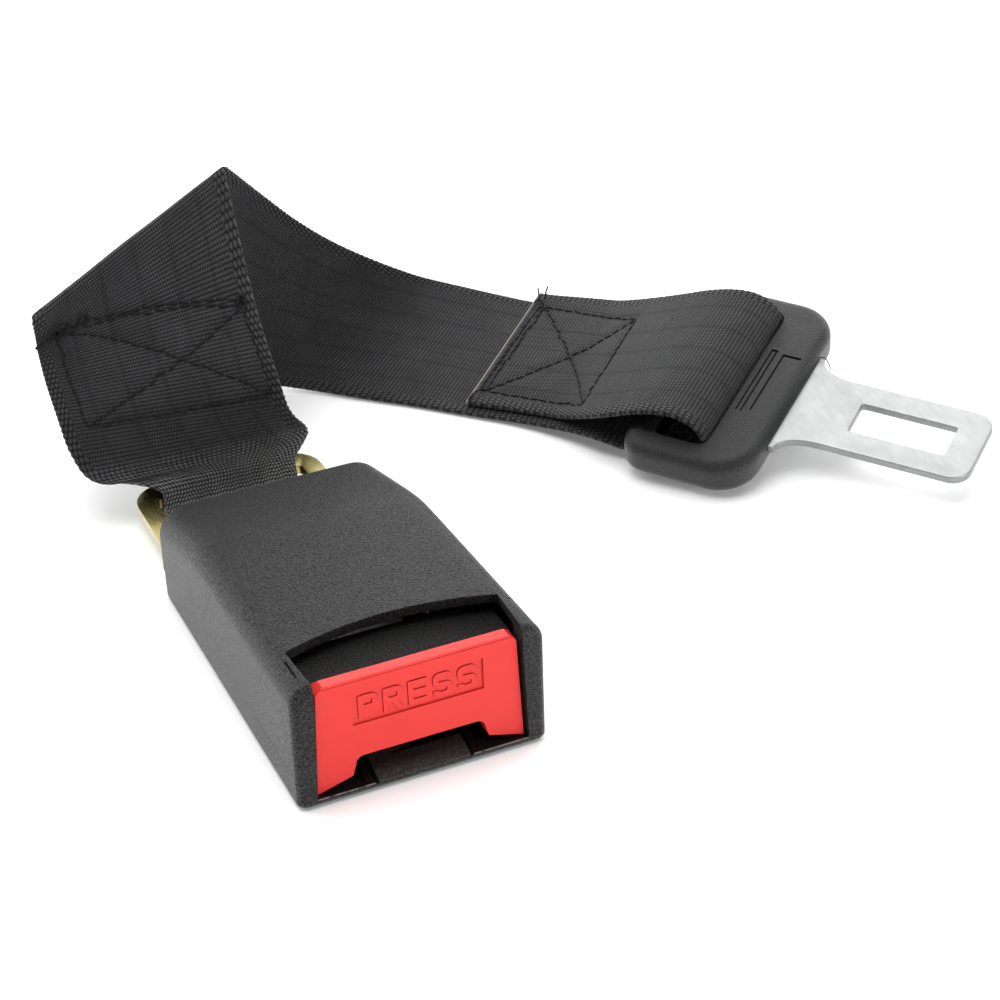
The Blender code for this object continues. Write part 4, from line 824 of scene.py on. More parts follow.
TONGUE_LOOP = (
    (-11.5, -4.0),
    (-5, -4.7),
    (1, -5.1),
    (7, -4.4),
    (13.2, -1.8),
    (16, 3.2),
    (14.2, 7.6),
    (9.3, 9.8),
    (3.5, 9.2),
    (-2.5, 7.2),
    (-8.5, 4.4),
)
print("rulings", len(RULINGS), "along the strap,", len(TONGUE_LOOP), "round the tongue's bar")

# %% [markdown]
# The loop round the tongue's rear bar is given in the tongue's own axes, as distance and height, because
# it turns with the tongue. A quadratic B-spline then draws a smooth run through all the rulings. It never
# swings out past its controls, as an interpolating spline would at a tight fold.

# %% From rulings to smooth runs
def tongue_frame():
    """The tongue's own axes: X to the tip, Y across, Z up, with the rear bar's axis at the origin."""
    roll, pitch, heading = (math.radians(a) for a in TONGUE_TURNS)
    turns = Matrix.Rotation(heading, 4, "Z") @ Matrix.Rotation(pitch, 4, "Y")
    return Matrix.Translation(TONGUE_AXIS) @ turns @ Matrix.Rotation(roll, 4, "X")


def in_tongue(points):
    """Points given in the tongue's axes, moved to where the tongue lies."""
    matrix = np.array(tongue_frame())
    return np.asarray(points) @ matrix[:3, :3].T + matrix[:3, 3]


def rulings_at(controls, where):
    """Quadratic B-spline: each ruling is a weighted mean of the three controls around its parameter."""
    padded = np.concatenate([[2 * controls[0] - controls[1]], controls, [2 * controls[-1] - controls[-2]]])
    k = np.floor(where + 0.5).astype(int)
    t = where - k
    before, after = 0.5 * (0.5 - t) ** 2, 0.5 * (0.5 + t) ** 2
    weights = np.stack([before, 1 - before - after, after])[:, :, None, None]
    return (weights * np.stack([padded[k], padded[k + 1], padded[k + 2]])).sum(0)


def end_normals(rulings):
    """Unit normals at both ends of each ruling: across the ribbon crossed with along it."""
    along = np.gradient(rulings, axis=0)
    across = np.broadcast_to((rulings[:, 1] - rulings[:, 0])[:, None, :], along.shape)
    return unit(np.cross(across, along))


def eased(start, end, leave, arrive, steps):
    """Cubic Hermite rulings between two rulings, leaving and arriving in given directions."""
    t = (np.arange(1, steps) / steps)[:, None, None]
    first, second = 2 * t**3 - 3 * t**2 + 1, 3 * t**2 - 2 * t**3
    return first * start + (t**3 - 2 * t**2 + t) * leave + second * end + (t**3 - t**2) * arrive


def headed(pair, length):
    """Direction from one ruling to the next, at both ends, with a set length."""
    return unit(pair[1] - pair[0]) * length


# %% The strap's main run
DENSE = 24
slot_place = BAR - (0, LOOP_RADIUS, 0)
first_ruling = np.array([[slot_place - (BUNCHED_HALF, 0, 0), slot_place + (BUNCHED_HALF, 0, 0)]])
laid = np.array(RULINGS) * MM + (0, BAR[1], 0)
sides = (-WEB_WIDTH / 2, WEB_WIDTH / 2)
looped = np.array([[in_tongue((a * MM, side, n * MM)) for side in sides] for a, n in TONGUE_LOOP])
controls = np.concatenate([first_ruling, laid, looped])
main_where = np.linspace(0, len(controls) - 1, (len(controls) - 1) * DENSE + 1)
main_run = rulings_at(controls, main_where)
print("main run", len(main_run), "rulings from", len(controls), "controls")

# %% [markdown]
# Each end of the strap passes round a bar, comes back behind the main run and is sewn to it. So the two
# folded layers are the main run itself, moved out along its normal by the webbing's thickness and a small
# gap. A half circle goes round the buckle's bar, and cubic curves join the layers to the loops.

# %% The two folded ends
WRAP_STEPS, LEG_STEPS, BRIDGE_STEPS = 40, 44, 30
REACH, STRIDE = 18 * MM, 14 * MM
LEG_ARRIVES = np.array([[16, -3, -9], [-6, 0, -15]]) * MM
behind = main_run - (WEB_THICK + LAYER_GAP) * end_normals(main_run)
low, high = BOTTOM_STITCH * DENSE, int(round(TOP_STITCH * DENSE))
buckle_end = behind[low : high + 1][::-1]
angles = np.radians(np.linspace(0, -180, WRAP_STEPS + 1))[:-1]
wrap = np.zeros((len(angles), 2, 3))
wrap[:, 0, 0], wrap[:, 1, 0] = -BUNCHED_HALF, BUNCHED_HALF
wrap[:, :, 1] = (BAR[1] + LOOP_RADIUS * np.cos(angles))[:, None]
wrap[:, :, 2] = (BAR[2] + LOOP_RADIUS * np.sin(angles))[:, None]
leg = eased(buckle_end[-1], wrap[0], headed(buckle_end[-2:], REACH), LEG_ARRIVES, LEG_STEPS)
cut, last = int(round(CUT_END * DENSE)), int((len(RULINGS) - 0.5) * DENSE)
across = unit(behind[:, 1] - behind[:, 0])
tongue_end = (behind + RETURN_SHIFT * across[:, None, :])[cut : last + 1][::-1]
leave, arrive = headed(main_run[-2:], STRIDE), headed(tongue_end[:2], STRIDE)
bridge = eased(main_run[-1], tongue_end[0], leave, arrive, BRIDGE_STEPS)

# %% One path, measured
parts = {
    "buckle_end": buckle_end,
    "leg": leg,
    "wrap": wrap,
    "main": main_run,
    "bridge": bridge,
    "tongue_end": tongue_end,
}
whole = np.concatenate(list(parts.values()))
counts = np.cumsum([0] + [len(p) for p in parts.values()])
starts = dict(zip(parts, counts[:-1].tolist()))
strides = np.linalg.norm(np.diff(whole.mean(1), axis=0), axis=1)
distance = np.concatenate([[0], np.cumsum(strides)])
strap_length = float(distance[-1])
print("strap rulings", len(whole), "length", round(strap_length, 4))

# %% [markdown]
# The seams are lines on the flat strap: a box with a cross in it, sewn in one go. The corners are given in
# millimetres along and across the cloth. The back of the buckle's seam is the same thread seen from the
# other layer, so its place is looked up from the front and isn't typed twice.

# %% Seams
def box_cross(near_left, near_right, far_right, far_left):
    """Corners of a sewn box and cross as one thread runs: the far side is sewn twice, a step apart."""
    bl, br, tr, tl = (np.array(corner) * MM for corner in (near_left, near_right, far_right, far_left))
    outer_right, outer_left = tr + (tr - br) * 0.05, tl + (tl - bl) * 0.04
    return np.array([bl, br, tl, tr, outer_right, outer_left, bl, tr, br])


main_start = starts["main"]
FROM_SLOT = ((23.4, -18.4), (24.2, 21.8), (43.4, 21.2), (52.5, -19.4))
FROM_CUT = ((33.4, -19.3), (33.9, 15.2), (3.7, 18.3), (2.6, -18.4))
front_seam_path = box_cross(*FROM_SLOT) + (distance[main_start], 0)
tongue_seam_path = box_cross(*FROM_CUT) * (-1, 1) + (distance[-1], 0)
rows = np.interp(front_seam_path[:, 0], distance, np.arange(len(whole))) - main_start
behind_rows = np.clip(high - rows, 0.15 * DENSE, None) + starts["buckle_end"]
back_along = np.interp(behind_rows, np.arange(len(whole)), distance)
back_seam_path = np.stack([back_along, front_seam_path[:, 1]], axis=1)
seams = {"front": front_seam_path, "back": back_seam_path, "tongue": tongue_seam_path}
for place, seam in seams.items():
    print("seam", place, round(float(np.linalg.norm(np.diff(seam, axis=0), axis=1).sum()) / MM), "mm")

# %% [markdown]
# The ribbon isn't perfectly flat. Where it is pulled through the narrow slot it gathers in lengthwise
# pleats, every seam pulls it down a little, and the free panels carry a slow wave. Sculpting would do it,
# but all of it is simple as a height over two numbers: the distance along the strap and across it.

# %% Relief
PLEAT, PLEAT_REACH, PLEAT_PITCH = 0.22 * MM, 9 * MM, 5.6 * MM
ROLL, ROLL_AT, ROLL_REACH = 1.3 * MM, 9 * MM, 5 * MM
SAG, SAG_AT, SAG_REACH = 0.9 * MM, 20 * MM, 4 * MM
WAVE, DENT = 0.21 * MM, 0.3 * MM


def bell(x, width):
    """exp(-(x / width)^2): 1 in the middle, fading within about two widths."""
    return np.exp(-((x / width) ** 2))


def seam_dent(along, over, seam, width=1.1 * MM):
    """The greatest, over the seam's straight runs, of a bell curve of the distance to the run."""
    dent = np.zeros(np.broadcast(along, over).shape)
    for (a0, b0), (a1, b1) in zip(seam[:-1], seam[1:]):
        length = math.hypot(a1 - a0, b1 - b0)
        share = np.clip(((along - a0) * (a1 - a0) + (over - b0) * (b1 - b0)) / length**2, 0, 1)
        gap = np.hypot(along - a0 - share * (a1 - a0), over - b0 - share * (b1 - b0))
        dent = np.maximum(dent, bell(gap, width))
    return dent


def relief(along, over):
    """Height of the ribbon above its ruled surface: pleats at the slot, seam dents and a slow wave."""
    past_slot = along - distance[main_start]
    pleats = PLEAT * bell(past_slot, PLEAT_REACH) * np.cos(2 * np.pi * over / PLEAT_PITCH)
    roll = ROLL * bell(past_slot - ROLL_AT, ROLL_REACH) * (1 - (over / (26 * MM)) ** 2)
    sag = SAG * bell(past_slot - SAG_AT, SAG_REACH)
    free = (past_slot > 12 * MM) & (along < distance[starts["bridge"]] - 60 * MM)
    swing = np.sin(along / (9 * MM) + 1.3 * np.sin(over / (8 * MM)))
    wave = WAVE * swing * np.cos(over / (11 * MM) + 0.7)
    dents = sum(seam_dent(along, over, seam) for seam in seams.values())
    return pleats + roll - sag + free * wave - DENT * dents


strap_normals = end_normals(whole)
LOWEST = 0.02 * MM


def on_strap(along, over, height):
    """Points on the strap at given distances along and across it, lifted along the surface normal."""
    row = np.interp(along, distance, np.arange(len(whole)))
    k = np.clip(row.astype(int), 0, len(whole) - 2)
    t = (row - k)[..., None]
    share = (0.5 + over / WEB_WIDTH)[..., None]
    ends = [whole[k, i] * (1 - t) + whole[k + 1, i] * t for i in (0, 1)]
    tips = [strap_normals[k, i] * (1 - t) + strap_normals[k + 1, i] * t for i in (0, 1)]
    normal = unit(tips[0] * (1 - share) + tips[1] * share)
    points = ends[0] * (1 - share) + ends[1] * share + (height + relief(along, over))[..., None] * normal
    points[..., 2] = np.maximum(points[..., 2], LOWEST)
    return points


# %% [markdown]
# The webbing's section is a thin closed ring, flat in its middle, fuller at the two selvedges and round at
# the edge itself. It could be a plane with a Solidify modifier, but that gives a square edge. The ring is
# carried along the path, and its outermost points swing in and out, once for each thread of the weft.

# %% Webbing mesh
def web_section():
    """Half thickness against place across: flat, fuller at the selvedges, round at the very edge."""
    radius = WEB_THICK / 2
    flat = np.linspace(-WEB_WIDTH / 2 + radius, WEB_WIDTH / 2 - radius, 44)
    turn = np.radians(np.linspace(0, 90, 5))[1:]
    edge = WEB_WIDTH / 2 - radius + radius * np.sin(turn)
    over = np.concatenate([-edge[::-1], flat, edge])
    thick = np.concatenate([radius * np.cos(turn)[::-1], np.full(len(flat), radius), radius * np.cos(turn)])
    fuller = 1 + 0.12 * bell(WEB_WIDTH / 2 - np.abs(over) - 1.6 * MM, 1.2 * MM)
    return over, thick * fuller


over, thick = web_section()
ring_over = np.concatenate([over, over[-2:0:-1]])
ring_height = np.concatenate([thick, -thick[-2:0:-1]])
ring_height[0] = ring_height[len(over) - 1] = 0
along_grid = np.broadcast_to(distance[:, None], (len(distance), len(ring_over)))
SCALLOP, SCALLOP_PITCH = 0.1 * MM, 1.45 * MM
outermost = np.clip((np.abs(ring_over) - WEB_WIDTH / 2 + MM) / MM, 0, 1) * np.sign(ring_over)
scallops = SCALLOP * np.sin(2 * np.pi * distance[:, None] / SCALLOP_PITCH) * outermost[None, :]
over_grid = ring_over[None, :] + scallops
strap_points = on_strap(along_grid, over_grid, np.broadcast_to(ring_height[None, :], along_grid.shape))
strap = closed_rings("webbing", strap_points)
corner_of = np.zeros(len(strap.data.loops), dtype=np.int32)
strap.data.loops.foreach_get("vertex_index", corner_of)
weave_map = strap.data.uv_layers.new(name="weave")
flat_place = np.stack([over_grid.ravel(), along_grid.ravel()], axis=1) / (10 * MM)
weave_map.data.foreach_set("uv", flat_place[corner_of].ravel())
strap.data.shade_smooth()
lowest_point = float(strap_points[..., 2].min())
print("webbing", len(strap.data.polygons), "faces, lowest point", round(lowest_point / MM, 2), "mm")

# %% [markdown]
# The weave is drawn on the strap's own flat map, in centimetres, so that it follows every fold. Car webbing
# is woven in narrow bands. Each band is rows of short bright threads with dark gaps between them, and the
# threads of neighbouring bands lean opposite ways. The outer three millimetres, the selvedges, have thicker
# threads. Woven as real threads it would take millions of faces, so the threads are a height that the
# shader works out, and only the selvedge's scallops are in the mesh. The colour follows that height: the
# thread tops get painted sheen and the gaps painted shade.

# %% Woven finish
BAND, ASIDE, SELVEDGE = 8.1, 40.0, (2.7, 3.1)
ROW, BODY_COLUMN, EDGE_COLUMN, DOT_COLUMN = 0.87, 0.58, 0.95, 1.1


def woven_black(length):
    """Thread tops are 1 - a^2 - b^2, where a and b run from -1 to 1 across a thread and along it."""
    finish = Finish("black_webbing", (0.02, 0.02, 0.022), 0.62, specular=0.2)
    place = finish.tree.nodes.new("ShaderNodeUVMap")
    place.uv_map = "weave"
    parts = finish.tree.nodes.new("ShaderNodeSeparateXYZ")
    finish.link(place.outputs["UV"], parts.inputs[0])
    u, v = (finish.product(parts.outputs[axis], 10.0) for axis in "XY")
    edge = finish.minus(WEB_WIDTH / 2 / MM, finish.math("ABSOLUTE", u))
    selvedge = finish.spread(edge, *SELVEDGE, 1.0, 0.0)
    across = finish.math("DIVIDE", finish.total(u, ASIDE), BAND)
    odd = finish.math("MODULO", finish.math("FLOOR", across), 2.0)
    turned = finish.minus(finish.product(odd, 2.0), 1.0)
    to_line = finish.product(finish.math("PINGPONG", across, 0.5), BAND)
    band_line = finish.spread(to_line, 0.35, 0.75, 1.0, 0.0)

    def threads(column, row, shift, lean, fill):
        """Rows of thread tops: every row is shifted a little, and each top leans to one side."""
        row_place = finish.math("DIVIDE", v, row)
        b = finish.minus(finish.math("FRACT", row_place), 0.5)
        moved = finish.product(finish.math("FLOOR", row_place), shift)
        leaning = finish.product(turned, lean, b)
        column_place = finish.math("DIVIDE", finish.total(u, ASIDE), column)
        a = finish.math("FRACT", finish.total(column_place, moved, leaning))
        a = finish.math("DIVIDE", finish.minus(a, 0.5), fill)
        b = finish.math("DIVIDE", b, 0.5)
        rest = finish.total(finish.product(a, a), finish.product(b, b))
        return finish.math("MAXIMUM", finish.minus(1.0, rest), 0.0)

    body = threads(BODY_COLUMN, ROW, 0.31, 0.5, 0.55)
    middle = finish.product(body, finish.minus(1.0, finish.product(band_line, 0.35)))
    border = threads(EDGE_COLUMN, SCALLOP_PITCH / MM, 0.5, 0.2, 0.5)
    inner = finish.product(middle, finish.minus(1.0, selvedge))
    height = finish.total(inner, finish.product(border, selvedge))
    fibre = finish.noise(6000, 2.0)
    shade = finish.spread(finish.noise(150, 3.0), 0.3, 0.7, 0.6, 1.0)
    uneven = finish.product(shade, finish.spread(fibre, 0.3, 0.7, 0.5, 1.3))
    # Painted sheen and shade: the colour is lighter on the thread tops and darker in the gaps.
    painted_sheen_and_shade = finish.product(finish.math("POWER", height, 0.7), uneven)
    colour = finish.blend(painted_sheen_and_shade, (0.003, 0.0029, 0.0032), (0.05, 0.049, 0.053))
    # Painted highlight: near the slot, rows of pale dots are put into the colour.
    from_slot = finish.math("ABSOLUTE", finish.minus(v, float(distance[main_start]) / MM))
    near_slot = finish.spread(from_slot, 6.0, 15.0, 1.0, 0.0)
    dots = finish.product(threads(DOT_COLUMN, ROW, 0.5, 0.25, 0.42), uneven)
    painted_dot_highlight = finish.product(near_slot, dots, 0.9)
    colour = finish.blend(painted_dot_highlight, colour, (0.42, 0.43, 0.46))
    to_end = finish.math("MINIMUM", v, finish.minus(length / MM, v))
    frayed = finish.spread(to_end, 0.3, 0.5, 1.0, 0.0)
    frayed = finish.product(frayed, finish.spread(fibre, 0.35, 0.55, 0.35, 1.0))
    finish.link(finish.blend(frayed, colour, (0.34, 0.3, 0.26)), "Base Color")
    finish.link(finish.spread(height, 0.0, 1.0, 0.8, 0.48), "Roughness")
    finish.set("Sheen Weight", 0.07)
    finish.set("Sheen Roughness", 0.4)
    tops = finish.total(finish.math("POWER", height, 0.5), finish.product(fibre, 0.25))
    finish.bump(tops, 0.00028, 1.0)
    print("woven finish", len(finish.tree.nodes), "nodes")
    return finish.material


web_black = woven_black(strap_length)
dress(strap, web_black, "strap", ["webbing_strap"])

# %% [markdown]
# ## Stitching
# Machine stitches are short lengths of thread that dive into the cloth at each needle hole. An Array
# modifier along a curve could repeat one, but it would not follow the cloth's pleats. One stitch is a small
# arched tube of a few dozen faces, and all of a seam's stitches are computed at once, by bending that tube
# onto the strap with the same map that made the webbing. A seeded wobble keeps the row from looking ruled.

# %% Stitches
STITCH, STITCH_GAP = 2.7 * MM, 0.3 * MM
THREAD_RADIUS = 0.29 * MM


def stitch_line(seam):
    """Start and end of every stitch: each straight run is divided evenly, close to the stitch length."""
    starts, ends = [], []
    for a, b in zip(seam[:-1], seam[1:]):
        count = max(int(round(np.linalg.norm(b - a) / STITCH)), 1)
        knots = a + (b - a) * np.linspace(0, 1, count + 1)[:, None]
        gap = unit(b - a) * STITCH_GAP / 2 if count > 1 else 0
        starts.append(knots[:-1] + gap)
        ends.append(knots[1:] - gap)
    return np.concatenate(starts), np.concatenate(ends)


def stitches(name, seam, lift, rings=7, around=6):
    """Arched tubes: the centre rises as the square root of a sine, the radius shrinks at both ends."""
    start, end = stitch_line(seam)
    t = np.linspace(0, 1, rings)
    line = start[:, None, :] + (end - start)[:, None, :] * t[None, :, None]
    direction = unit(end - start)
    side = np.stack([-direction[:, 1], direction[:, 0]], axis=1)
    wobble = np.random.default_rng(4).normal(0, 0.2 * MM, (len(start), 2))
    line = line + side[:, None, :] * (wobble[:, :1] * (1 - t) + wobble[:, 1:] * t)[:, :, None]
    turn = 2 * np.pi * np.arange(around) / around
    arch = np.sqrt(np.sin(np.pi * (0.04 + 0.92 * t)))
    radius = THREAD_RADIUS * (0.55 + 0.45 * arch)
    sideways = radius[:, None] * np.cos(turn)[None, :]
    upward = (lift * arch - 0.12 * MM)[:, None] + radius[:, None] * np.sin(turn)[None, :]
    along = line[:, :, None, 0] + side[:, None, None, 0] * sideways[None]
    over = line[:, :, None, 1] + side[:, None, None, 1] * sideways[None]
    points = on_strap(along, over, WEB_THICK / 2 + np.broadcast_to(upward[None], along.shape))
    offsets = (np.arange(len(start)) * rings * around)[:, None]
    faces = (np.array(ring_faces(rings, around))[None] + offsets[:, None]).reshape(-1, 4).tolist()
    first = np.arange(around)[::-1]
    last = (rings - 1) * around + first[::-1]
    caps = np.concatenate([offsets + first, offsets + last])
    piece = new_piece(name, points, faces + caps.tolist())
    piece.data.shade_smooth()
    return piece


SIDEWAYS_OF = (0.31, 0.2, 0.93)


def loose_threads(name, paths, radii, around=6):
    """Thin tubes along smoothed point lists: each ring stands square to the path, round its centre."""
    points, faces = [], []
    for path, radius in zip(paths, radii):
        controls = np.array(path)[:, None, :]
        centre = rulings_at(controls, np.linspace(0, len(controls) - 1, 8 * len(controls)))[:, 0]
        tangent = unit(np.gradient(centre, axis=0))
        side = unit(np.cross(tangent, SIDEWAYS_OF))
        lift = np.cross(side, tangent)
        turn = 2 * np.pi * np.arange(around) / around
        ring = side[:, None] * np.cos(turn)[None, :, None] + lift[:, None] * np.sin(turn)[None, :, None]
        base = sum(len(p) for p in points)
        points.append((centre[:, None] + radius * ring).reshape(-1, 3))
        faces += (np.array(ring_faces(len(centre), around)) + base).tolist()
        first = np.arange(around)
        last = (len(centre) - 1) * around + first
        faces += [(base + first[::-1]).tolist(), (base + last).tolist()]
    piece = new_piece(name, np.concatenate(points), faces)
    piece.data.shade_smooth()
    return piece


def on_strap_path(origin, direction, path):
    """Points given as millimetres along, across and above the cloth, counted from a place along it."""
    path = np.array(path) * MM
    return on_strap(origin + direction * path[:, 0], path[:, 1], WEB_THICK / 2 + path[:, 2])


def thread_finish():
    """Black thread: a fine noise is both its twist and its shade."""
    finish = Finish("sewing_thread", (0.006, 0.006, 0.0065), 0.8, specular=0.2)
    twist = finish.noise(2600, 2.0)
    finish.link(finish.blend(twist, (0.003, 0.003, 0.003), (0.014, 0.014, 0.016)), "Base Color")
    finish.bump(twist, 0.0001, 0.8)
    return finish.material


thread = thread_finish()
STITCH_LIFT = 0.22 * MM
for name, place, replaced in (
    ("stitches_front", "front", ["stitching_buckle_end"]),
    ("stitches_behind", "back", []),
    ("stitches_tongue", "tongue", ["stitching_tongue_end"]),
):
    row = stitches(name, seams[place], STITCH_LIFT)
    dress(row, thread, "strap", replaced)

# %% [markdown]
# Where a seam starts and stops, the machine leaves small knots and cut ends. They are loose thin tubes
# whose paths are given as millimetres along, across and above the cloth, so that they stay on it if it
# moves. Then the size that the strap was cut to is printed.

# %% Thread ends
slot_along, cut_along = distance[main_start], distance[-1]
KNOT_ENDS = (
    ((53, -19.6, 0.2), (54.5, -21.2, 0.7), (53.2, -22.8, 0.8), (50.5, -24.3, 0.3)),
    ((53.2, -20.4, 0.2), (56.0, -19.6, 1.0), (57.2, -18.0, 1.1), (55.4, -16.4, 0.6), (53.6, -16.6, 0.2)),
    ((52.0, -21.2, 0.2), (55.0, -20.6, 0.9), (55.8, -19.4, 1.2), (53.4, -18.2, 0.7), (51.6, -19.2, 0.3)),
    ((53.0, -14.6, 0.2), (55.6, -13.8, 0.8), (55.2, -12.4, 0.8), (52.6, -12.0, 0.2)),
    ((43.5, 20.0, 0.2), (45.2, 21.0, 0.8), (44.4, 22.2, 0.7), (42.6, 21.6, 0.2)),
)
CUT_ENDS = (
    ((1.4, 20.6, 0.1), (0.6, 22.0, 0.9), (0.1, 23.0, 2.0)),
    ((2.6, 21.4, 0.1), (2.2, 23.0, 0.9), (2.6, 24.0, 2.2)),
    ((3.4, 18.4, 0.2), (2.4, 19.8, 0.8), (1.2, 20.2, 0.7), (0.5, 19.0, 0.3)),
    ((2.6, -18.2, 0.2), (1.5, -19.6, 0.8), (0.7, -21.4, 0.6), (0.5, -23.2, 0.3)),
)
knots = [on_strap_path(slot_along, 1, path) for path in KNOT_ENDS]
knots += [on_strap_path(cut_along, -1, path) for path in CUT_ENDS]
KNOT_RADIUS, END_RADIUS = 0.36 * MM, 0.2 * MM
radii = [KNOT_RADIUS] * len(KNOT_ENDS) + [END_RADIUS] * len(CUT_ENDS)
thread_ends = loose_threads("thread_ends", knots, radii)
dress(thread_ends, thread, "strap")
print("webbing cut to", round(WEB_WIDTH / MM), "x", round(strap_length / MM), "mm")

# %% [markdown]
# ## The tongue
# A stamped steel blade is moulded into a thick plastic grip. Both could be modelled where they lie, but
# tilted numbers are hard to read. So they are outlines in the tongue's own axes, X towards the tip,
# stacked in height with their edges rolled over, then cut. The finished points are moved into place.

# %% Blade and grip outlines
GRIP_HALF, GRIP_FRONT, GRIP_REAR, GRIP_THICK = 31.3 * MM, 28.6 * MM, -3 * MM, 8.9 * MM
SLOT_START, SLOT_LENGTH, SLOT_HALF = 3 * MM, 13.8 * MM, 25.3 * MM
BLADE_HALF, BLADE_TIP, TIP_RADIUS, BLADE_THICK = 11.5 * MM, 73.8 * MM, 4.5 * MM, 2 * MM
ROOT_HALF, FLARE_START, FLARE_LENGTH = 16.5 * MM, 29.8 * MM, 8.8 * MM
WINDOW = (43.4 * MM, 66.6 * MM, 5.1 * MM)


def mirrored(half_outline):
    """Half an outline, from rear to front on the near side, closed by its mirror image."""
    half_outline = np.asarray(half_outline)
    return np.concatenate([half_outline, half_outline[::-1] * (1, -1)])


def blade_outline():
    """A quarter ellipse narrows the root to the blade, and a quarter circle rounds each tip corner."""
    turn = np.radians(np.linspace(0, 90, 13))
    x = FLARE_START + FLARE_LENGTH * (1 - np.cos(turn))
    y = -ROOT_HALF + (ROOT_HALF - BLADE_HALF) * np.sin(turn)
    tip = arc((BLADE_TIP - TIP_RADIUS, -BLADE_HALF + TIP_RADIUS), TIP_RADIUS, 270, 360, 10)
    root = [(GRIP_FRONT - 6 * MM, -ROOT_HALF - 3 * MM), (GRIP_FRONT - 2 * MM, -ROOT_HALF)]
    return mirrored(np.concatenate([root, np.stack([x, y], axis=1), tip]))


def grip_outline():
    """A rectangle with a quarter circle at each corner, smaller behind than in front."""
    small, large = 6 * MM, 10 * MM
    rear = arc((GRIP_REAR + small, -GRIP_HALF + small), small, 180, 270, 10)
    front = arc((GRIP_FRONT - large, -GRIP_HALF + large), large, 270, 360, 14)
    return mirrored(np.concatenate([rear, front]))


def shrunk(outline, inset):
    """Outline moved inwards by an inset along the mean of its two edge normals at each point."""
    before, after = outline - np.roll(outline, 1, axis=0), np.roll(outline, -1, axis=0) - outline
    normals = []
    for edge in (before, after):
        length = np.linalg.norm(edge, axis=1, keepdims=True) + 1e-12
        normals.append(np.stack([-edge[:, 1], edge[:, 0]], axis=1) / length)
    mean = unit(normals[0] + normals[1])
    return outline + inset * mean / np.maximum((mean * normals[0]).sum(1), 0.5)[:, None]


def stacked(name, outline, thickness, radius, steps=6):
    """Outline stacked in height, drawn in over a quarter circle at the bottom and the top edge."""
    inset, rise = rolled_edge(radius, steps)
    height = -thickness / 2 + rise
    rings = [at_height(shrunk(outline, i), z) for i, z in zip(inset, height)]
    rings += [at_height(shrunk(outline, i), -z) for i, z in zip(inset[::-1], height[::-1])]
    return closed_rings(name, np.array(rings))


def lay_tongue_piece(piece):
    """Move a piece's points from the tongue's own axes to where the tongue lies."""
    piece.data.transform(tongue_frame())


# %% Blade
blade = stacked("tongue_blade", blade_outline(), BLADE_THICK, 0.3 * MM, 3)
window = rounded_rectangle(WINDOW[0], WINDOW[1], -WINDOW[2], WINDOW[2], 0.8 * MM, 4)
carve(blade, extruded("window", window, -5 * MM, 5 * MM))
round_edges(blade, 0.2 * MM, 2, 50)
lay_tongue_piece(blade)
dress(blade, blade_steel, "tongue", ["tongue_plate"])
blade_up = tongue_frame().to_3x3() @ Vector((0, 0, 1))
# Painted shade: the blade's edge faces, steep to its flat sides, get the darker steel.
paint_shade_on_walls(blade, painted_shade_steel, (-1, -1, -1), (1, 1, 1), blade_up)

# %% [markdown]
# The grip is one outline with a slot through it. The bar behind the slot is thinner than the rest, to leave
# room for the webbing. A few straight grooves are cut in its top. A thin wisp stands on the
# front edge, as on the real one, where it may be moulding flash. It is made like the loose threads.

# %% Grip
grip = stacked("tongue_handle", grip_outline(), GRIP_THICK, 2.9 * MM)
slot = rounded_rectangle(SLOT_START, SLOT_START + SLOT_LENGTH, -SLOT_HALF, SLOT_HALF, 3 * MM)
carve(grip, extruded("slot", slot, -GRIP_THICK, GRIP_THICK))
THIN_BAR = 2.7 * MM
for side in (-1, 1):
    z0, z1 = sorted((side * THIN_BAR, side * GRIP_THICK))
    thinning = rectangle(GRIP_REAR - MM, SLOT_START + MM, -SLOT_HALF, SLOT_HALF)
    carve(grip, extruded("thinning", thinning, z0, z1))
round_edges(grip, 1.1 * MM, 4, 50)
GROOVE_FLOOR = GRIP_THICK / 2 - 0.55 * MM
for x0, x1, y0, y1 in (
    (18.15, 18.6, -11, 11.9),
    (19.35, 19.8, -11, 11.9),
    (18.15, 19.8, 11.2, 11.9),
    (21.3, 21.8, -10, 11),
    (21.3, 25.9, 10.3, 11.1),
):
    groove = rectangle(x0 * MM, x1 * MM, y0 * MM, y1 * MM)
    carve(grip, extruded("groove", groove, GROOVE_FLOOR, GRIP_THICK))
smooth(grip)
lay_tongue_piece(grip)
dress(grip, grip_plastic, "tongue", ["tongue_grip"])
WISP = np.array([(27.9, 15.6, 1.4), (29.6, 16.4, 2.0), (31.0, 15.2, 1.7), (32.2, 13.6, 1.25)]) * MM
WISP_RADIUS = 0.13 * MM
wisp = loose_threads("grip_wisp", [in_tongue(WISP)], [WISP_RADIUS])
dress(wisp, grip_plastic, "tongue")

# %% [markdown]
# ## Floor, light and camera
# The extender lies on white paper. More lamps would whiten it but also bleach the object, so the paper is
# lifted by a little light of its own instead, which only the camera and glossy reflections see. The
# object's shadow stays, because the share that the camera sees is small beside the lamps' light.

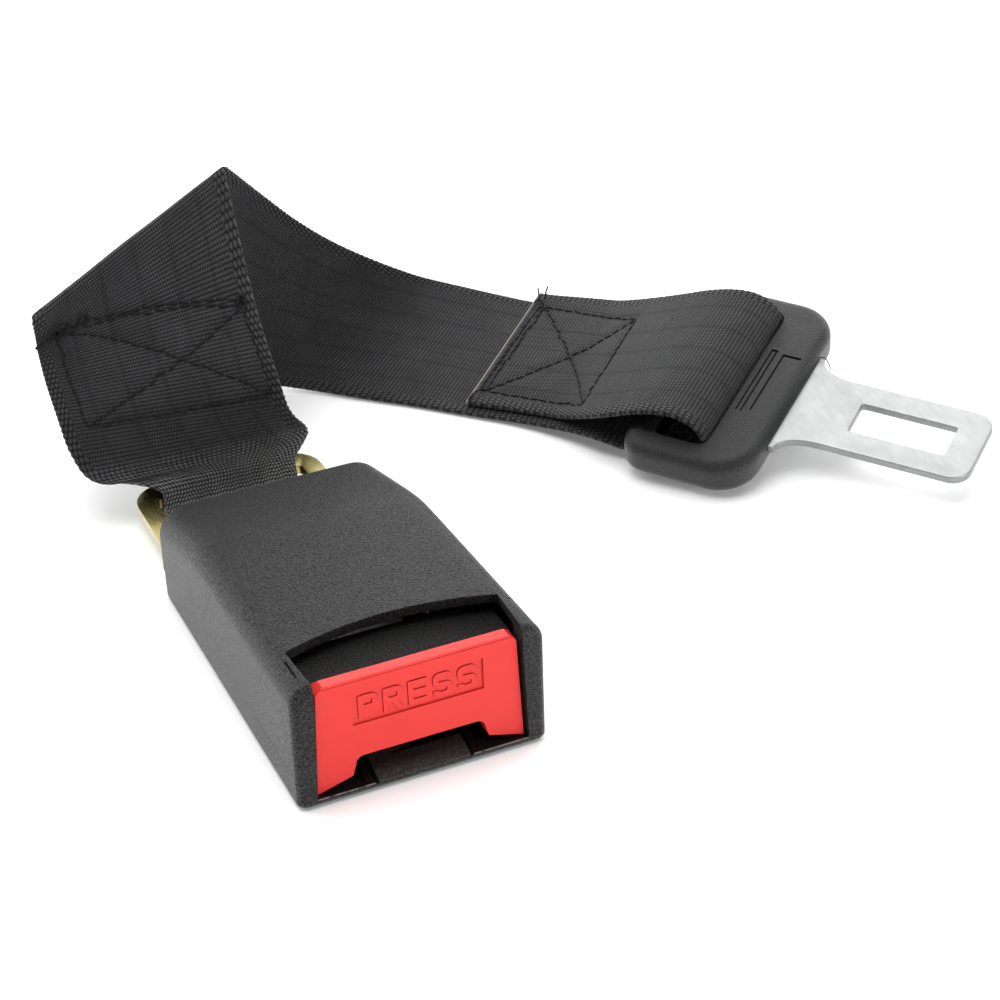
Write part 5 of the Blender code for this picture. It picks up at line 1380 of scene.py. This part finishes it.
# %% Floor
FLOOR_HALF, FLOOR_Z = 3.0, -0.00005
SEEN_LIFT, MIRRORED_LIFT = 0.09, 0.8
floor_mesh = bpy.data.meshes.new("floor")
floor_corners = at_height(rectangle(-FLOOR_HALF, FLOOR_HALF, -FLOOR_HALF, FLOOR_HALF), FLOOR_Z)
floor_mesh.from_pydata(floor_corners.tolist(), [], [(0, 1, 2, 3)])
floor = bpy.data.objects.new("floor", floor_mesh)
bpy.context.scene.collection.objects.link(floor)
paper = Finish("white_paper", (0.93, 0.93, 0.93), 0.9, specular=0.0)
paper.set("Emission Color", (1, 1, 1, 1))
rays = paper.tree.nodes.new("ShaderNodeLightPath").outputs
mirrored_light = paper.product(rays["Is Glossy Ray"], MIRRORED_LIFT)
lift = paper.math("MULTIPLY_ADD", rays["Is Camera Ray"], SEEN_LIFT, mirrored_light)
paper.link(lift, "Emission Strength")
floor_mesh.materials.append(paper.material)
print("floor", 2 * FLOOR_HALF, "m wide")

# %% [markdown]
# Dark plastic and webbing show mostly what they reflect, so the room matters more than the lamps. The world
# is a soft sweep from dim in front to bright behind and above, by the cosine to one direction. Seen from
# the front, the top faces mirror what is behind them, and so get a pale sheen. Two round lamps add the broad
# shadow and open up the front.

# %% Light
BRIGHT_SIDE = Vector((0.2, 0.9, 0.38)).normalized()
DIM, BRIGHT = 0.16, 2.6
scene = bpy.context.scene
world = bpy.data.worlds.new("studio")
scene.world = world
world.use_nodes = True
sky = world.node_tree
direction = sky.nodes.new("ShaderNodeTexCoord")
facing = sky.nodes.new("ShaderNodeVectorMath")
facing.operation = "DOT_PRODUCT"
facing.inputs[1].default_value = BRIGHT_SIDE
sky.links.new(direction.outputs["Generated"], facing.inputs[0])
fade = sky.nodes.new("ShaderNodeMapRange")
fade.interpolation_type = "SMOOTHSTEP"
for socket, number in zip(list(fade.inputs)[1:5], (-0.2, 0.9, DIM, BRIGHT)):
    socket.default_value = number
sky.links.new(facing.outputs["Value"], fade.inputs[0])
sky.nodes["Background"].inputs["Color"].default_value = (1, 1, 1, 1)
sky.links.new(fade.outputs[0], sky.nodes["Background"].inputs["Strength"])


def soft_lamp(name, place, aim, size, watts):
    """A round area lamp at a place, turned so that it looks at the aim."""
    lamp = bpy.data.lights.new(name, "AREA")
    lamp.shape = "DISK"
    lamp.size = size
    lamp.energy = watts
    thing = bpy.data.objects.new(name, lamp)
    thing.location = place
    thing.rotation_euler = (Vector(aim) - Vector(place)).to_track_quat("-Z", "Y").to_euler()
    scene.collection.objects.link(thing)
    print("lamp", name, watts, "W")


soft_lamp("overhead", (-0.2, -0.1, 1.2), (0.03, 0.03, 0), 0.8, 6)
soft_lamp("front", (0.5, -1.0, 0.28), (0, 0, 0.02), 0.4, 5.5)

# %% [markdown]
# The camera stands where the photographer's did. Its place, turn and focal length come from a fit to
# points measured in the photo. Three angles say more than a matrix of nine numbers: the turn about the
# upright axis, the rise above the floor and the roll about the line of sight.

# %% Camera
VIEW_TURN, VIEW_RISE, VIEW_ROLL = -23.65, 30.9, -1.962
FOCAL, SENSOR = 87.416, 36.0
EYE = Vector((-135.6 * MM, -392.7 * MM, 285.7 * MM))
a, e, r = (math.radians(v) for v in (VIEW_TURN, VIEW_RISE, VIEW_ROLL))
back = Vector((math.sin(a) * math.cos(e), -math.cos(a) * math.cos(e), math.sin(e)))
level = Vector((math.cos(a), math.sin(a), 0))
upright = back.cross(level)
right = math.cos(r) * level + math.sin(r) * upright
up = math.cos(r) * upright - math.sin(r) * level
camera_data = bpy.data.cameras.new("camera")
camera_data.lens = FOCAL
camera_data.sensor_width = SENSOR
camera_data.clip_start = 0.01
camera = bpy.data.objects.new("camera", camera_data)
camera.matrix_world = Matrix.Translation(EYE) @ Matrix((right, up, back)).transposed().to_4x4()
scene.collection.objects.link(camera)
scene.camera = camera
scene.view_settings.view_transform = "Standard"
print("camera", [round(v / MM) for v in EYE], "mm, lens", FOCAL, "mm")
